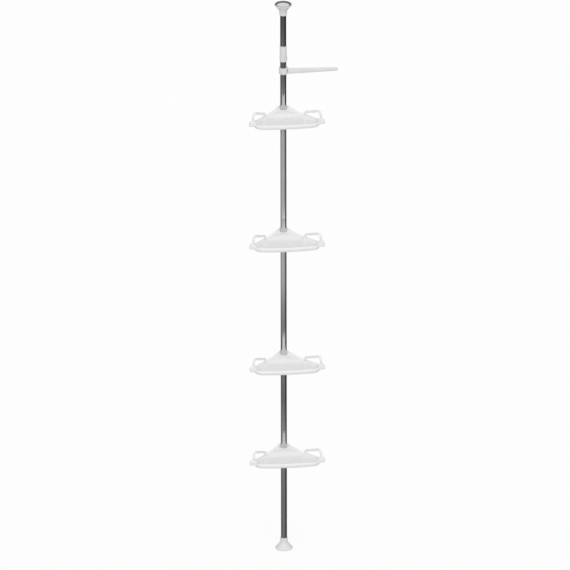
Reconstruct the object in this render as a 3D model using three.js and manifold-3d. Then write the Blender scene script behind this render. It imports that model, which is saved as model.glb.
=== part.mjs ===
// Tension pole corner shelf: a polished pole that a spring wedges between floor and ceiling, four
// moulded corner trays that slide and swivel on it, and a swinging towel arm. Millimetres, +Z up.
// The origin lies on the floor at the pole's axis, and the room's corner lies towards +Y.

import * as THREE from 'three';
import { mergeVertices } from 'three/addons/utils/BufferGeometryUtils.js';
import Module from 'manifold-3d';

const { lerp, clamp } = THREE.MathUtils;
const wasm = await Module();
wasm.setup();

// Whole stand
const standHeight = 2462;
const gap = 0.3;
const overrun = 2;
const roundSides = 24;
const plainSides = 16;
const smallSides = 12;
const railSides = 8;
const springSides = 4;

// Pole tubes and the sleeves that join them inside
const tubeRadius = 12.5;
const tubeWall = 0.8;
const tubeBoreRadius = tubeRadius - tubeWall;
const couplerLength = 90;
const couplerWall = 1.5;
const poleBoreRadius = tubeRadius + gap;

// End caps, measured from the face that meets the floor or the ceiling
const capHeight = 49;
const capFlangeRadius = 36;
const capFlangeEdge = 3.2;
const capFlangeBevel = 1.4;
const capWaistRadius = 16.5;
const capWaistHeight = 28;
const capMouthRadius = 15.2;
const capMouthBevel = 0.8;
const capSocketDepth = 25;
const capRimWall = 2.6;
const capCupDepth = 4.6;
const padProud = 0.6;
const padSoleWidth = 2;
const padConeWidth = 5;
const padConeDepth = 3.5;
const capFlareSteps = 3;
const flareShares = [0.46, 0.4];

// Telescoping top: sleeve, lock ring, rod and spring
const ceilingToSleeve = 256;
const sleeveBottom = standHeight - ceilingToSleeve;
const lockRingHeight = 22;
const sleeveBodyHeight = 47;
const sleeveWall = 1.7;
const sleeveBevel = 1;
const skirtWall = 0.9;
const skirtSlitWidth = 1.6;
const skirtSlitCount = 4;
const lockBaseThickness = 1.6;
const lockWall = 1.4;
const lockFluteDepth = 0.5;
const lockFluteCount = 9;
const lockTabRadius = 3;
const lockTabProud = 1.6;
const lockTabHeight = 15;
const tubeOverlap = 10;
const travelDown = 20;
const rodInsertLength = 60;
const rodReach = 150;
const rodWall = 1.2;
const rodBaseThickness = 3;
const springLength = 120;
const springRadius = 9;
const springWire = 1;
const springTurns = 8;
const springStepsPerTurn = 8;
const seatHeight = 16;
const seatBossRadius = 6.5;
const seatBossHeight = 8;

// Towel holder
const sleeveToHolder = 54;
const holderBottom = sleeveBottom - sleeveToHolder;
const holderHeight = 26;
const holderRadius = 18.5;
const holderBevel = 1.4;
const bushWall = 1.6;
const bushFlangeRadius = 17;
const bushFlangeHeight = 2.2;
const bushSlitWidth = 2;
const bushRecess = 1;
const knobRadius = 8.3;
const knobHead = 5.5;
const knobBevel = 1.4;
const knobDimpleRadius = 4.6;
const knobDimpleDepth = 1.2;
const knobShankRadius = 2.5;
const knobBossRadius = 7;
const knobBossProud = 1.5;
const armEnd = 226;
const armRootHeight = 24;
const armRootThickness = 14;
const armTipHeight = 14;
const armTipThickness = 9;
const armTipRound = 7;
const armForward = 5;
const armDrop = 2;
const armTipSections = 4;
const armLoopPoints = 16;
const armCurveShare = 2 / 3;
const spigotHeight = 14;
const spigotThickness = 6;
const spigotLength = 14;

// Tray heights at the pole, as shares of the way from the foot cap up to the sleeve
const trayLevelShares = [0.18822, 0.38433, 0.6421, 0.89801];

// Tray outline, seen from above
const trayHalfWidth = 136;
const traySideLength = 63.6;
const trayBow = 10.4;
const trayHubRadius = 17;
const traySideRound = 30;
const trayFrontRound = 36;
const wallApex = trayHubRadius * Math.SQRT2;
const wallLength = trayHalfWidth * Math.SQRT2;
const trayCornerReach = trayHalfWidth - wallApex + traySideLength;
const trayFrontReach = trayCornerReach + trayBow;

// Tray section
const trayWall = 2.6;
const trayBaseThickness = 2.8;
const trayPlateau = 4;
const trayWellDepth = 4;
const traySkirt = 9;
const traySideRim = 4;
const trayFrontRim = 10;
const trayPeak = 21;
const trayPeakRun = 54;
const coveRun = 15;
const lipRun = 22;
const lipDepth = 7;
const lipTuck = 3.2;
const wallTuck = 0.8;
const coveRunShares = [1, 0.5, 0.17];
const coveRiseShares = [0, 0.12, 0.5];

// Tray hub and the split wedge inside it
const hubDepth = 32;
const hubTopRadius = 14.5;
const hubTaper = 0.8;
const wedgeProud = 1;
const wedgeFlangeRadius = 16.6;
const wedgeFlangeHeight = 2;
const wedgeSplit = 0.8;
const hubSteps = 4;

// Drain slots behind the lip, and ribs below the floor
const slotCount = 6;
const slotSpacing = 34;
const slotLength = 16;
const slotWidth = 4;
const slotToFront = 25;
const slotEndPoints = 3;
const ribAngles = [-18, 0, 18].map(THREE.MathUtils.degToRad);
const ribToFront = 14;
const ribThickness = 1.8;
const ribSkirtGap = 1;

// Ears at the front corners, each a drooping lug that carries a rail's post
const earProud = 21.5;
const earRoot = 8;
const earToCorner = 22;
const earWidth = 13;
const earBottom = -1.5;
const earTop = 22.5;
const earBevel = 1.2;
const earReachShares = [0, 0.78, 0.95, 1, 0.98, 0.9, 0.74, 0.54, 0.3, 0.12, 0];
const earRiseShares = [0, 0, 0.08, 0.26, 0.5, 0.74, 0.92, 1, 1, 0.84, 0.5];
const earForward = trayCornerReach - earToCorner;

// Guard rails and their sockets
const railRadius = 5;
const railPegRadius = 3;
const railPostProud = 4;
const railTop = 57;
const railBackToCorner = 68.3;
const railBackInset = 7.4;
const railFrontBend = 26;
const railBackBend = 11;
const railFrontBendSteps = 4;
const railBackBendSteps = 2;
const socketWall = 2.4;
const postSocketBottom = 6;
const backSocketTop = 5;
const backSocketBottom = -6;
const backBossBottom = -8;
const railPostSide = trayHalfWidth + railPostProud;
const railBackTop = backSocketTop + 2 * gap + railBackBend;

// Geometry helpers

// A geometry's points and triangles with shared vertices merged, turned so that its faces point out.
function closedMesh(geometry) {
  const bare = geometry.clone();
  bare.deleteAttribute('normal');
  bare.deleteAttribute('uv');
  const merged = mergeVertices(bare);
  const place = merged.attributes.position.array;
  const index = Array.from(merged.index.array);
  const corner = (k) => new THREE.Vector3().fromArray(place, 3 * index[k]);
  const kept = [];
  let volume = 0;
  for (let k = 0; k < index.length; k += 3) {
    const [a, b, c] = [index[k], index[k + 1], index[k + 2]];
    if (a === b || b === c || c === a) continue;
    kept.push(a, b, c);
    volume += corner(k).dot(corner(k + 1).cross(corner(k + 2)));
  }
  if (volume < 0) kept.reverse();
  return { place: new Float32Array(place), index: new Uint32Array(kept) };
}

function asSolid(geometry) {
  const { place, index } = closedMesh(geometry);
  return new wasm.Manifold(new wasm.Mesh({ numProp: 3, vertProperties: place, triVerts: index }));
}

function asGeometry(solid) {
  const mesh = solid.getMesh();
  const geometry = new THREE.BufferGeometry();
  geometry.setAttribute('position', new THREE.BufferAttribute(mesh.vertProperties, mesh.numProp));
  geometry.setIndex(new THREE.BufferAttribute(mesh.triVerts, 1));
  geometry.computeVertexNormals();
  return geometry;
}

// Joins some geometries and cuts others away.
function carve(joined, cut = []) {
  let solid = joined.map(asSolid).reduce((a, b) => a.add(b));
  for (const geometry of cut) solid = solid.subtract(asSolid(geometry));
  return asGeometry(solid);
}

// A profile of [radius, height] pairs turned about the Z axis.
function turned(profile, sides = roundSides) {
  const points = profile.map(([radius, height]) => new THREE.Vector2(radius, height));
  return new THREE.LatheGeometry(points, sides).rotateX(Math.PI / 2);
}

function turnedRing(inner, outer, bottom, top, sides = roundSides) {
  return turned([[inner, bottom], [outer, bottom], [outer, top], [inner, top], [inner, bottom]], sides);
}

function rod(radius, bottom, top, sides = smallSides) {
  return turned([[0, bottom], [radius, bottom], [radius, top], [0, top]], sides);
}

// A rod whose axis points along -Y, from one distance out to another.
function forwardRod(radius, from, to) {
  return rod(radius, from, to).rotateX(Math.PI / 2);
}

// Closed skin over a stack of equal loops of points; caps give the triangles of the first and last loop.
function skin(loops, firstCap, lastCap) {
  const size = loops[0].length;
  const place = loops.flat().flatMap((point) => [point.x, point.y, point.z]);
  const index = [];
  for (let ring = 0; ring + 1 < loops.length; ring += 1) {
    for (let k = 0; k < size; k += 1) {
      const [a, b] = [ring * size + k, ring * size + (k + 1) % size];
      index.push(a, b, b + size, a, b + size, a + size);
    }
  }
  const last = (loops.length - 1) * size;
  for (const [a, b, c] of firstCap) index.push(a, c, b);
  for (const [a, b, c] of lastCap) index.push(last + a, last + b, last + c);
  const geometry = new THREE.BufferGeometry();
  geometry.setAttribute('position', new THREE.Float32BufferAttribute(place, 3));
  geometry.setIndex(index);
  return geometry;
}

function fanCap(size) {
  return Array.from({ length: size - 2 }, (_, k) => [0, k + 1, k + 2]);
}

// Round wire through stations, each with its point, its direction, its radius and a direction across it.
function wire(stations, sides) {
  const loops = stations.map(({ point, along, across, radius }) => {
    const other = along.clone().cross(across);
    return Array.from({ length: sides }, (_, k) => {
      const angle = 2 * Math.PI * k / sides;
      const reach = point.clone().addScaledVector(across, radius * Math.cos(angle));
      return reach.addScaledVector(other, radius * Math.sin(angle));
    });
  });
  return skin(loops, fanCap(sides), fanCap(sides));
}

// Pole

const tubeSeat = capHeight - capSocketDepth;
const poleStart = tubeSeat + gap;
const poleEnd = sleeveBottom + lockRingHeight + tubeOverlap;
const sectionLength = (poleEnd - poleStart - 2 * gap) / 3;
const sectionStarts = [0, 1, 2].map((n) => poleStart + n * (sectionLength + gap));
const innerPieceRadius = tubeBoreRadius - gap;

function poleTube(start, length) {
  return turnedRing(tubeBoreRadius, tubeRadius, start, start + length);
}

function coupler(joint) {
  const bottom = joint - couplerLength / 2;
  const inner = innerPieceRadius - couplerWall;
  return turnedRing(inner, innerPieceRadius, bottom, bottom + couplerLength, plainSides);
}

// End cap: a trumpet whose collar takes the tube, with a shallow cup in its face for the pad.
const cupRadius = capFlangeRadius - capRimWall;
const cupFloor = padProud + capCupDepth;

function endCap() {
  const flare = new THREE.QuadraticBezierCurve(
    new THREE.Vector2(capFlangeRadius, capFlangeEdge),
    new THREE.Vector2(
      lerp(capWaistRadius, capFlangeRadius, flareShares[0]),
      lerp(capFlangeEdge, capWaistHeight, flareShares[1]),
    ),
    new THREE.Vector2(capWaistRadius, capWaistHeight),
  );
  return turned([
    [0, cupFloor],
    [cupRadius, cupFloor],
    [cupRadius, padProud],
    [capFlangeRadius - capFlangeBevel, padProud],
    [capFlangeRadius, padProud + capFlangeBevel],
    ...flare.getPoints(capFlareSteps).map((point) => [point.x, point.y]),
    [capMouthRadius, capHeight - capMouthBevel],
    [capMouthRadius - capMouthBevel, capHeight],
    [poleBoreRadius, capHeight],
    [poleBoreRadius, tubeSeat],
    [0, tubeSeat],
  ]);
}

// Rubber ring with a flat sole and a hollow cone inside it.
const padRadius = cupRadius - gap;

function endPad() {
  const coneStart = padRadius - padSoleWidth;
  const bore = coneStart - padConeWidth;
  return turned([
    [padRadius, 0],
    [padRadius, cupFloor - gap],
    [bore, cupFloor - gap],
    [bore, padConeDepth],
    [coneStart, 0],
    [padRadius, 0],
  ]);
}

// Telescoping top

const sleeveRadius = poleBoreRadius + sleeveWall;
const skirtRadius = poleBoreRadius + skirtWall;
const skirtBottom = sleeveBottom + lockBaseThickness + gap;
const sleeveBodyBottom = sleeveBottom + lockRingHeight + gap;
const sleeveTop = sleeveBottom + lockRingHeight + sleeveBodyHeight;
const topTubeBottom = poleEnd + travelDown + gap;
const topTubeLength = standHeight - tubeSeat - gap - topTubeBottom;
const rodBottom = topTubeBottom - rodReach;
const springBottom = rodBottom - springLength;

// Sleeve over both tube ends, with a skirt slit into fingers that the lock ring closes on the pole.
function adjustingSleeve() {
  const body = turned([
    [poleBoreRadius, skirtBottom],
    [skirtRadius, skirtBottom],
    [skirtRadius, sleeveBodyBottom],
    [sleeveRadius, sleeveBodyBottom],
    [sleeveRadius, sleeveTop - sleeveBevel],
    [sleeveRadius - sleeveBevel, sleeveTop],
    [poleBoreRadius, sleeveTop],
    [poleBoreRadius, skirtBottom],
  ]);
  const slitTop = sleeveBodyBottom - skirtWall;
  const slitHeight = slitTop - skirtBottom + overrun;
  const slits = [];
  for (let n = 0; n < skirtSlitCount / 2; n += 1) {
    const slit = new THREE.BoxGeometry(2 * (skirtRadius + overrun), skirtSlitWidth, slitHeight);
    slit.translate(0, 0, slitTop - slitHeight / 2);
    slits.push(slit.rotateZ(Math.PI * (1 / 4 + n * 2 / skirtSlitCount)));
  }
  return carve([body], slits);
}

// Fluted ring with a thumb tab. Its floor is wider than its bore and carries the skirt's end.
function lockRing() {
  const bore = skirtRadius + gap;
  const outer = bore + lockWall;
  const outline = new THREE.Shape();
  const points = 4 * lockFluteCount;
  for (let k = 0; k < points; k += 1) {
    const angle = 2 * Math.PI * k / points;
    const reach = outer - lockFluteDepth * (1 - Math.cos(lockFluteCount * angle)) / 2;
    const place = new THREE.Vector2(reach * Math.cos(angle), reach * Math.sin(angle));
    if (k === 0) outline.moveTo(place.x, place.y);
    else outline.lineTo(place.x, place.y);
  }
  outline.closePath();
  const body = new THREE.ExtrudeGeometry(outline, { depth: lockRingHeight, bevelEnabled: false });
  body.translate(0, 0, sleeveBottom);
  const tabMiddle = outer + lockTabProud - lockTabRadius;
  const tabTop = sleeveBottom + lockRingHeight - lockWall;
  const tab = rod(lockTabRadius, tabTop - lockTabHeight, tabTop).translate(tabMiddle, 0, 0);
  const top = sleeveBottom + lockRingHeight + overrun;
  const well = rod(bore, sleeveBottom + lockBaseThickness, top, roundSides);
  const hole = rod(poleBoreRadius, sleeveBottom - overrun, top, roundSides);
  return carve([body, tab], [well, hole]);
}

function innerRod() {
  const top = topTubeBottom + rodInsertLength;
  const bore = innerPieceRadius - rodWall;
  return turned([
    [0, rodBottom],
    [innerPieceRadius, rodBottom],
    [innerPieceRadius, top],
    [bore, top],
    [bore, rodBottom + rodBaseThickness],
    [0, rodBottom + rodBaseThickness],
  ], plainSides);
}

// Helix of round wire between the seat and the rod's floor.
function tensionSpring() {
  const clear = 2 * springWire + gap;
  const steps = springTurns * springStepsPerTurn;
  const rise = springLength - 2 * clear;
  const pitch = rise / (2 * Math.PI * springTurns);
  const stations = Array.from({ length: steps + 1 }, (_, k) => {
    const angle = 2 * Math.PI * k / springStepsPerTurn;
    const across = new THREE.Vector3(Math.cos(angle), Math.sin(angle), 0);
    const point = across.clone().multiplyScalar(springRadius).setZ(springBottom + clear + rise * k / steps);
    const along = new THREE.Vector3(-springRadius * across.y, springRadius * across.x, pitch).normalize();
    return { point, along, across, radius: springWire };
  });
  return wire(stations, springSides);
}

function springSeat() {
  return turned([
    [0, springBottom - seatHeight],
    [innerPieceRadius, springBottom - seatHeight],
    [innerPieceRadius, springBottom],
    [seatBossRadius, springBottom],
    [seatBossRadius, springBottom + seatBossHeight],
    [0, springBottom + seatBossHeight],
  ], plainSides);
}

// Towel holder

const holderTop = holderBottom + holderHeight;
const holderMiddle = holderBottom + holderHeight / 2;
const bushRadius = poleBoreRadius + bushWall;
const holderBore = bushRadius + gap;

// Split bush that the knob presses on the pole, with a flange that the ring rests on.
function towelBush() {
  const flangeTop = holderBottom - gap;
  const bottom = flangeTop - bushFlangeHeight;
  const top = holderTop - bushRecess;
  const body = turned([
    [poleBoreRadius, bottom],
    [bushFlangeRadius, bottom],
    [bushFlangeRadius, flangeTop],
    [bushRadius, flangeTop],
    [bushRadius, top],
    [poleBoreRadius, top],
    [poleBoreRadius, bottom],
  ]);
  const slit = new THREE.BoxGeometry(bushSlitWidth, bushFlangeRadius + overrun, top - bottom + 2 * overrun);
  slit.translate(0, (bushFlangeRadius + overrun) / 2, (top + bottom) / 2);
  return carve([body], [slit]);
}

// Ring that turns on the bush, with a boss for the knob's shank and a spigot for the arm.
function towelRing() {
  const body = turned([
    [0, holderBottom],
    [holderRadius - holderBevel, holderBottom],
    [holderRadius, holderBottom + holderBevel],
    [holderRadius, holderTop - holderBevel],
    [holderRadius - holderBevel, holderTop],
    [0, holderTop],
  ]);
  const boss = forwardRod(knobBossRadius, 0, holderRadius + knobBossProud).translate(0, 0, holderMiddle);
  const spigotReach = holderRadius + gap + spigotLength;
  const spigot = new THREE.BoxGeometry(spigotReach, spigotThickness, spigotHeight);
  spigot.translate(spigotReach / 2, -armForward, holderMiddle - armDrop);
  const bore = rod(holderBore, holderBottom - overrun, holderTop + overrun, roundSides);
  const shankHole = forwardRod(knobShankRadius + gap, 0, holderRadius + knobBossProud + overrun);
  return carve([body, boss, spigot], [bore, shankHole.translate(0, 0, holderMiddle)]);
}

// Tapered arm with a rounded section and tip, and a pocket at its root for the spigot.
function towelArm() {
  const start = holderRadius + gap;
  const straight = armEnd - armTipRound;
  const stations = [{ x: start, shrink: 1 }];
  for (let k = 0; k <= armTipSections; k += 1) {
    const angle = Math.PI / 2 * k / (armTipSections + 1 / 2);
    const shrink = Math.cos(angle) ** armCurveShare;
    stations.push({ x: straight + armTipRound * Math.sin(angle), shrink });
  }
  const loops = stations.map(({ x, shrink }) => {
    const t = (x - start) / (armEnd - start);
    const high = lerp(armRootHeight, armTipHeight, t) / 2 * shrink;
    const thick = lerp(armRootThickness, armTipThickness, t) / 2 * shrink;
    return Array.from({ length: armLoopPoints }, (_, k) => {
      const angle = 2 * Math.PI * (k + 1 / 2) / armLoopPoints;
      const [c, s] = [Math.cos(angle), Math.sin(angle)];
      const y = Math.sign(c) * thick * Math.abs(c) ** armCurveShare;
      const z = Math.sign(s) * high * Math.abs(s) ** armCurveShare;
      return new THREE.Vector3(x, y - armForward, z + holderMiddle - armDrop);
    });
  });
  const cap = fanCap(armLoopPoints);
  const pocketDepth = spigotLength + gap + overrun;
  const pocket = new THREE.BoxGeometry(pocketDepth, spigotThickness + 2 * gap, spigotHeight + 2 * gap);
  pocket.translate(start - overrun + pocketDepth / 2, -armForward, holderMiddle - armDrop);
  return carve([skin(loops, cap, cap)], [pocket]);
}

function clampKnob() {
  const headStart = holderRadius + knobBossProud + gap;
  const face = headStart + knobHead;
  const profile = [
    [0, holderBore],
    [knobShankRadius, holderBore],
    [knobShankRadius, headStart],
    [knobRadius, headStart],
    [knobRadius, face - knobBevel],
    [knobRadius - knobBevel, face],
    [knobDimpleRadius, face],
    [knobDimpleRadius - knobDimpleDepth, face - knobDimpleDepth],
    [0, face - knobDimpleDepth],
  ];
  return turned(profile, plainSides).rotateX(Math.PI / 2).translate(0, 0, holderMiddle);
}

// Tray outline: a square corner at the pole, two short sides and a slightly bowed front

// Stations round a loop of straight edges and round corners, each with its inward normal.
function roundedLoop(corners) {
  const arcs = corners.map((corner, i) => {
    const before = corners.at(i - 1).place;
    const after = corners[(i + 1) % corners.length].place;
    const arriving = corner.place.clone().sub(before).normalize();
    const leaving = after.clone().sub(corner.place).normalize();
    const turn = Math.atan2(arriving.cross(leaving), arriving.dot(leaving));
    const reach = corner.radius * Math.tan(turn / 2);
    const inward = new THREE.Vector2(-arriving.y, arriving.x);
    const centre = corner.place.clone().addScaledVector(arriving, -reach);
    centre.addScaledVector(inward, corner.radius);
    return Array.from({ length: corner.steps + 1 }, (_, k) => {
      const normal = inward.clone().rotateAround(new THREE.Vector2(), turn * k / corner.steps);
      return { place: centre.clone().addScaledVector(normal, -corner.radius), normal };
    });
  });
  return arcs.flatMap((arc, i) => {
    const start = arc.at(-1);
    const end = arcs[(i + 1) % arcs.length][0];
    const between = Array.from({ length: corners[i].edgeSteps - 1 }, (_, k) => ({
      place: start.place.clone().lerp(end.place, (k + 1) / corners[i].edgeSteps),
      normal: start.normal.clone(),
    }));
    return [...arc, ...between];
  });
}

function trayStations() {
  const arcHalf = trayHalfWidth - trayFrontRound;
  const slant = Math.atan((trayFrontReach - trayCornerReach) / (trayHalfWidth - arcHalf / 2));
  const frontTip = trayCornerReach + trayHalfWidth * Math.tan(slant);
  const corner = (x, y, radius, steps, edgeSteps) => (
    { place: new THREE.Vector2(x, y), radius, steps, edgeSteps }
  );
  return roundedLoop([
    corner(0, wallApex, trayHubRadius, hubSteps, 3),
    corner(-trayHalfWidth, wallApex - trayHalfWidth, traySideRound, 2, 1),
    corner(-trayHalfWidth, -trayCornerReach, trayFrontRound, 4, 1),
    corner(0, -frontTip, arcHalf / Math.sin(slant), 3, 1),
    corner(trayHalfWidth, -trayCornerReach, trayFrontRound, 4, 1),
    corner(trayHalfWidth, wallApex - trayHalfWidth, traySideRound, 2, 3),
  ]);
}

// The floor is a plateau round the pole, a slope between two folds and a well in front. The folds join
// the places that divide each side wall, so a station tells its floor height by how far back it lies.
function baseHeight(station, stations) {
  const [upper, lower] = [1, 2].map((k) => stations[hubSteps + k].place.y);
  const fall = clamp((upper - station.place.y) / (upper - lower), 0, 1);
  return lerp(trayPlateau, -trayWellDepth, fall);
}

// The rim is low along the sides, a little higher in front, and climbs to a peak round the pole.
function rimHeight(station, frontShare) {
  const run = station.place.length() - trayHubRadius;
  const climb = clamp(1 - run / trayPeakRun, 0, 1);
  return lerp(traySideRim, trayFrontRim, frontShare) + (trayPeak - traySideRim) * climb;
}

// Cross-section from the floor over the rim to the underside: thin upstands along the walls, and a
// deep rounded lip in front. Each row is an inset from the outline and a height.
function traySection(station, base) {
  const frontShare = (station.normal.y + Math.SQRT1_2) / (1 + Math.SQRT1_2);
  const either = (wall, front) => lerp(wall, front, clamp(frontShare, 0, 1));
  const rim = rimHeight(station, clamp(frontShare, 0, 1));
  const crest = either(trayWall, lipDepth);
  const run = either(coveRun, lipRun);
  const cove = coveRunShares.map((share, k) => {
    const inset = lerp(crest, run, share);
    return [inset, lerp(base, rim, coveRiseShares[k])];
  });
  const tuck = either(wallTuck, lipTuck);
  return [
    ...cove,
    [crest, rim - trayWall / 5],
    [either(trayWall / 3, lipDepth - trayWall), rim],
    [either(0, trayWall), rim - either(trayWall / 2, trayWall)],
    [0, either(rim - trayWall, -trayWall / 2)],
    [tuck, -traySkirt],
    [tuck + trayWall, -traySkirt],
    [tuck + 2 * trayWall, base - trayBaseThickness],
  ];
}

// Floor triangles in three flat pieces: behind the upper fold, between the folds and before the lower.
function foldedCap(size) {
  const [upper, lower] = [hubSteps + 1, hubSteps + 2];
  const pieces = [
    [...Array(upper + 1).keys(), size - 1],
    [upper, lower, size - 2, size - 1],
    Array.from({ length: size - 1 - lower }, (_, k) => lower + k),
  ];
  return pieces.flatMap((piece) => fanCap(piece.length).map((corners) => corners.map((k) => piece[k])));
}

// The shell's loops run from the floor's edge over the rim to the underside.
function trayShell() {
  const stations = trayStations();
  const sections = stations.map((station) => traySection(station, baseHeight(station, stations)));
  const loops = sections[0].map((_, row) => stations.map((station, k) => {
    const [inset, height] = sections[k][row];
    const { place, normal } = station;
    return new THREE.Vector3(place.x + normal.x * inset, place.y + normal.y * inset, height);
  }));
  const cap = foldedCap(stations.length);
  return skin(loops, cap, cap);
}

// Bore of the hub: straight above the floor and widening downwards over the wedge.
const hubBottomRadius = hubTopRadius + hubTaper;

function hubBore() {
  const bottom = -hubDepth - overrun;
  const slope = hubTaper / hubDepth;
  return turned([
    [0, bottom],
    [hubBottomRadius + slope * overrun, bottom],
    [hubTopRadius, 0],
    [hubTopRadius, trayPeak + overrun],
    [0, trayPeak + overrun],
  ]);
}

function drainSlot(x) {
  const half = (slotLength - slotWidth) / 2;
  const outline = [half, -half].flatMap((middle, end) => Array.from({ length: slotEndPoints }, (_, k) => {
    const turn = Math.PI * (end + k / (slotEndPoints - 1));
    return new THREE.Vector2(slotWidth / 2 * Math.cos(turn), middle + slotWidth / 2 * Math.sin(turn));
  }));
  const depth = trayBaseThickness + 2 * overrun;
  const slot = new THREE.ExtrudeGeometry(new THREE.Shape(outline), { depth, bevelEnabled: false });
  const y = slotToFront + slotLength / 2 - trayFrontReach;
  return slot.translate(x, y, overrun - trayWellDepth - depth);
}

// Rib below the floor, whose top edge runs inside the floor and folds with it.
function underRib(angle, folds) {
  const start = (hubBottomRadius + trayHubRadius) / 2;
  const reach = trayFrontReach - ribToFront;
  const bottom = -traySkirt + ribSkirtGap;
  const [high, low] = [trayPlateau, -trayWellDepth].map((floor) => floor - trayBaseThickness / 2);
  const outline = new THREE.Shape([
    new THREE.Vector2(start, bottom),
    new THREE.Vector2(reach, bottom),
    new THREE.Vector2(reach, low),
    new THREE.Vector2(folds[1], low),
    new THREE.Vector2(folds[0], high),
    new THREE.Vector2(start, high),
  ]);
  const rib = new THREE.ExtrudeGeometry(outline, { depth: ribThickness, bevelEnabled: false });
  rib.translate(0, 0, -ribThickness / 2).rotateX(Math.PI / 2);
  return rib.rotateZ(angle - Math.PI / 2);
}

// Ear at a front corner: a bevelled lug that droops outwards.
function ear(side) {
  const from = trayHalfWidth - earRoot;
  const outline = new THREE.Shape(earReachShares.map((share, k) => new THREE.Vector2(
    side * lerp(from, trayHalfWidth + earProud, share),
    lerp(earBottom, earTop, earRiseShares[k]),
  )));
  const lug = new THREE.ExtrudeGeometry(outline, {
    depth: earWidth - 2 * earBevel,
    bevelThickness: earBevel,
    bevelSize: earBevel,
    bevelOffset: -earBevel,
    bevelSegments: 1,
  });
  lug.rotateX(Math.PI / 2);
  return lug.translate(0, -earForward + earWidth / 2 - earBevel, 0);
}

// Places of a rail's two feet, seen from above
function railFeet(side) {
  const along = new THREE.Vector2(side * Math.SQRT1_2, -Math.SQRT1_2);
  const inward = new THREE.Vector2(-side * Math.SQRT1_2, -Math.SQRT1_2);
  const back = new THREE.Vector2(0, wallApex);
  back.addScaledVector(along, wallLength - railBackToCorner).addScaledVector(inward, railBackInset);
  return { front: new THREE.Vector2(side * railPostSide, -earForward), back };
}

function tray() {
  const joined = [trayShell()];
  const socketRadius = railPegRadius + gap;
  const cut = [hubBore()];
  const hub = rod(trayHubRadius, -hubDepth, trayPlateau - trayBaseThickness / 2, roundSides);
  const stations = trayStations();
  const folds = [1, 2].map((k) => (coveRun + wallTuck) / 2 * Math.SQRT1_2 - stations[hubSteps + k].place.y);
  joined.push(hub, ...ribAngles.map((angle) => underRib(angle, folds)));
  for (const side of [-1, 1]) {
    const { front, back } = railFeet(side);
    joined.push(ear(side));
    const post = (radius, bottom, top) => rod(radius, bottom, top, railSides).translate(front.x, front.y, 0);
    const leg = (radius, bottom, top) => rod(radius, bottom, top, railSides).translate(back.x, back.y, 0);
    joined.push(leg(socketRadius + socketWall, backBossBottom, backSocketTop));
    cut.push(post(socketRadius, postSocketBottom, earTop + overrun));
    cut.push(leg(socketRadius, backSocketBottom, backSocketTop + overrun));
  }
  for (let n = 0; n < slotCount; n += 1) {
    cut.push(drainSlot((n - (slotCount - 1) / 2) * slotSpacing));
  }
  return carve(joined, cut);
}

// Guard rail: a post on the ear, a sloping run back over the tray's side, and a short rear leg. Both
// feet end in a shoulder and a thinner peg that fills its socket.
function guardRail(side) {
  const { front, back } = railFeet(side);
  const post = new THREE.Vector3(front.x, front.y, railTop);
  const rear = new THREE.Vector3(back.x, back.y, railBackTop);
  const run = rear.clone().sub(post).normalize();
  const up = new THREE.Vector3(0, 0, 1);
  const down = up.clone().negate();
  const across = run.clone().cross(up).normalize();
  const stations = [];
  const add = (point, along, radius) => stations.push({ point, along, across, radius });
  add(post.clone().setZ(postSocketBottom + gap), up, railPegRadius);
  add(post.clone().setZ(earTop + gap), up, railPegRadius);
  add(post.clone().setZ(earTop + gap), up, railRadius);
  const bend = (corner, arriving, leaving, reach, steps) => {
    const curve = new THREE.QuadraticBezierCurve3(
      corner.clone().addScaledVector(arriving, -reach),
      corner,
      corner.clone().addScaledVector(leaving, reach),
    );
    for (let k = 0; k <= steps; k += 1) {
      const t = k / steps;
      add(curve.getPoint(t), curve.getTangent(t), railRadius);
    }
  };
  bend(post, up, run, railFrontBend, railFrontBendSteps);
  bend(rear, run, down, railBackBend, railBackBendSteps);
  add(rear.clone().setZ(backSocketTop + gap), down, railRadius);
  add(rear.clone().setZ(backSocketTop + gap), down, railPegRadius);
  add(rear.clone().setZ(backSocketBottom + gap), down, railPegRadius);
  return wire(stations, railSides);
}

// Half of the tapered wedge between hub and pole, with a flange under the hub.
function wedgeHalf(side) {
  const flangeTop = -hubDepth - gap;
  const bottom = flangeTop - wedgeFlangeHeight;
  const topRadius = hubTopRadius - gap;
  const body = turned([
    [poleBoreRadius, bottom],
    [wedgeFlangeRadius, bottom],
    [wedgeFlangeRadius, flangeTop],
    [hubBottomRadius - gap, flangeTop],
    [topRadius, 0],
    [topRadius, trayPlateau + wedgeProud],
    [poleBoreRadius, trayPlateau + wedgeProud],
    [poleBoreRadius, bottom],
  ], plainSides);
  const reach = wedgeFlangeRadius + overrun;
  const top = trayPlateau + wedgeProud;
  const height = top - bottom + 2 * overrun;
  const otherHalf = new THREE.BoxGeometry(reach + wedgeSplit / 2, 2 * reach, height);
  otherHalf.translate(side * (wedgeSplit / 2 - (reach + wedgeSplit / 2) / 2), 0, (top + bottom) / 2);
  return carve([body], [otherHalf]);
}

// Finishes

function whitePlastic() {
  return new THREE.MeshStandardMaterial({ color: 0xf1f1ef, roughness: 0.38, metalness: 0 });
}

function polishedSteel() {
  return new THREE.MeshStandardMaterial({ color: 0xc4c6c9, roughness: 0.14, metalness: 1 });
}

function springSteel() {
  return new THREE.MeshStandardMaterial({ color: 0x8b8d90, roughness: 0.35, metalness: 1 });
}

function greyNylon() {
  return new THREE.MeshStandardMaterial({ color: 0xc9cac8, roughness: 0.55, metalness: 0 });
}

function darkRubber() {
  return new THREE.MeshStandardMaterial({ color: 0x2c2c2d, roughness: 0.8, metalness: 0 });
}

// Assembly

const stand = new THREE.Group();

function place(parent, name, geometry, material) {
  const mesh = new THREE.Mesh(geometry, material);
  mesh.name = name;
  parent.add(mesh);
  return mesh;
}

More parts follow.
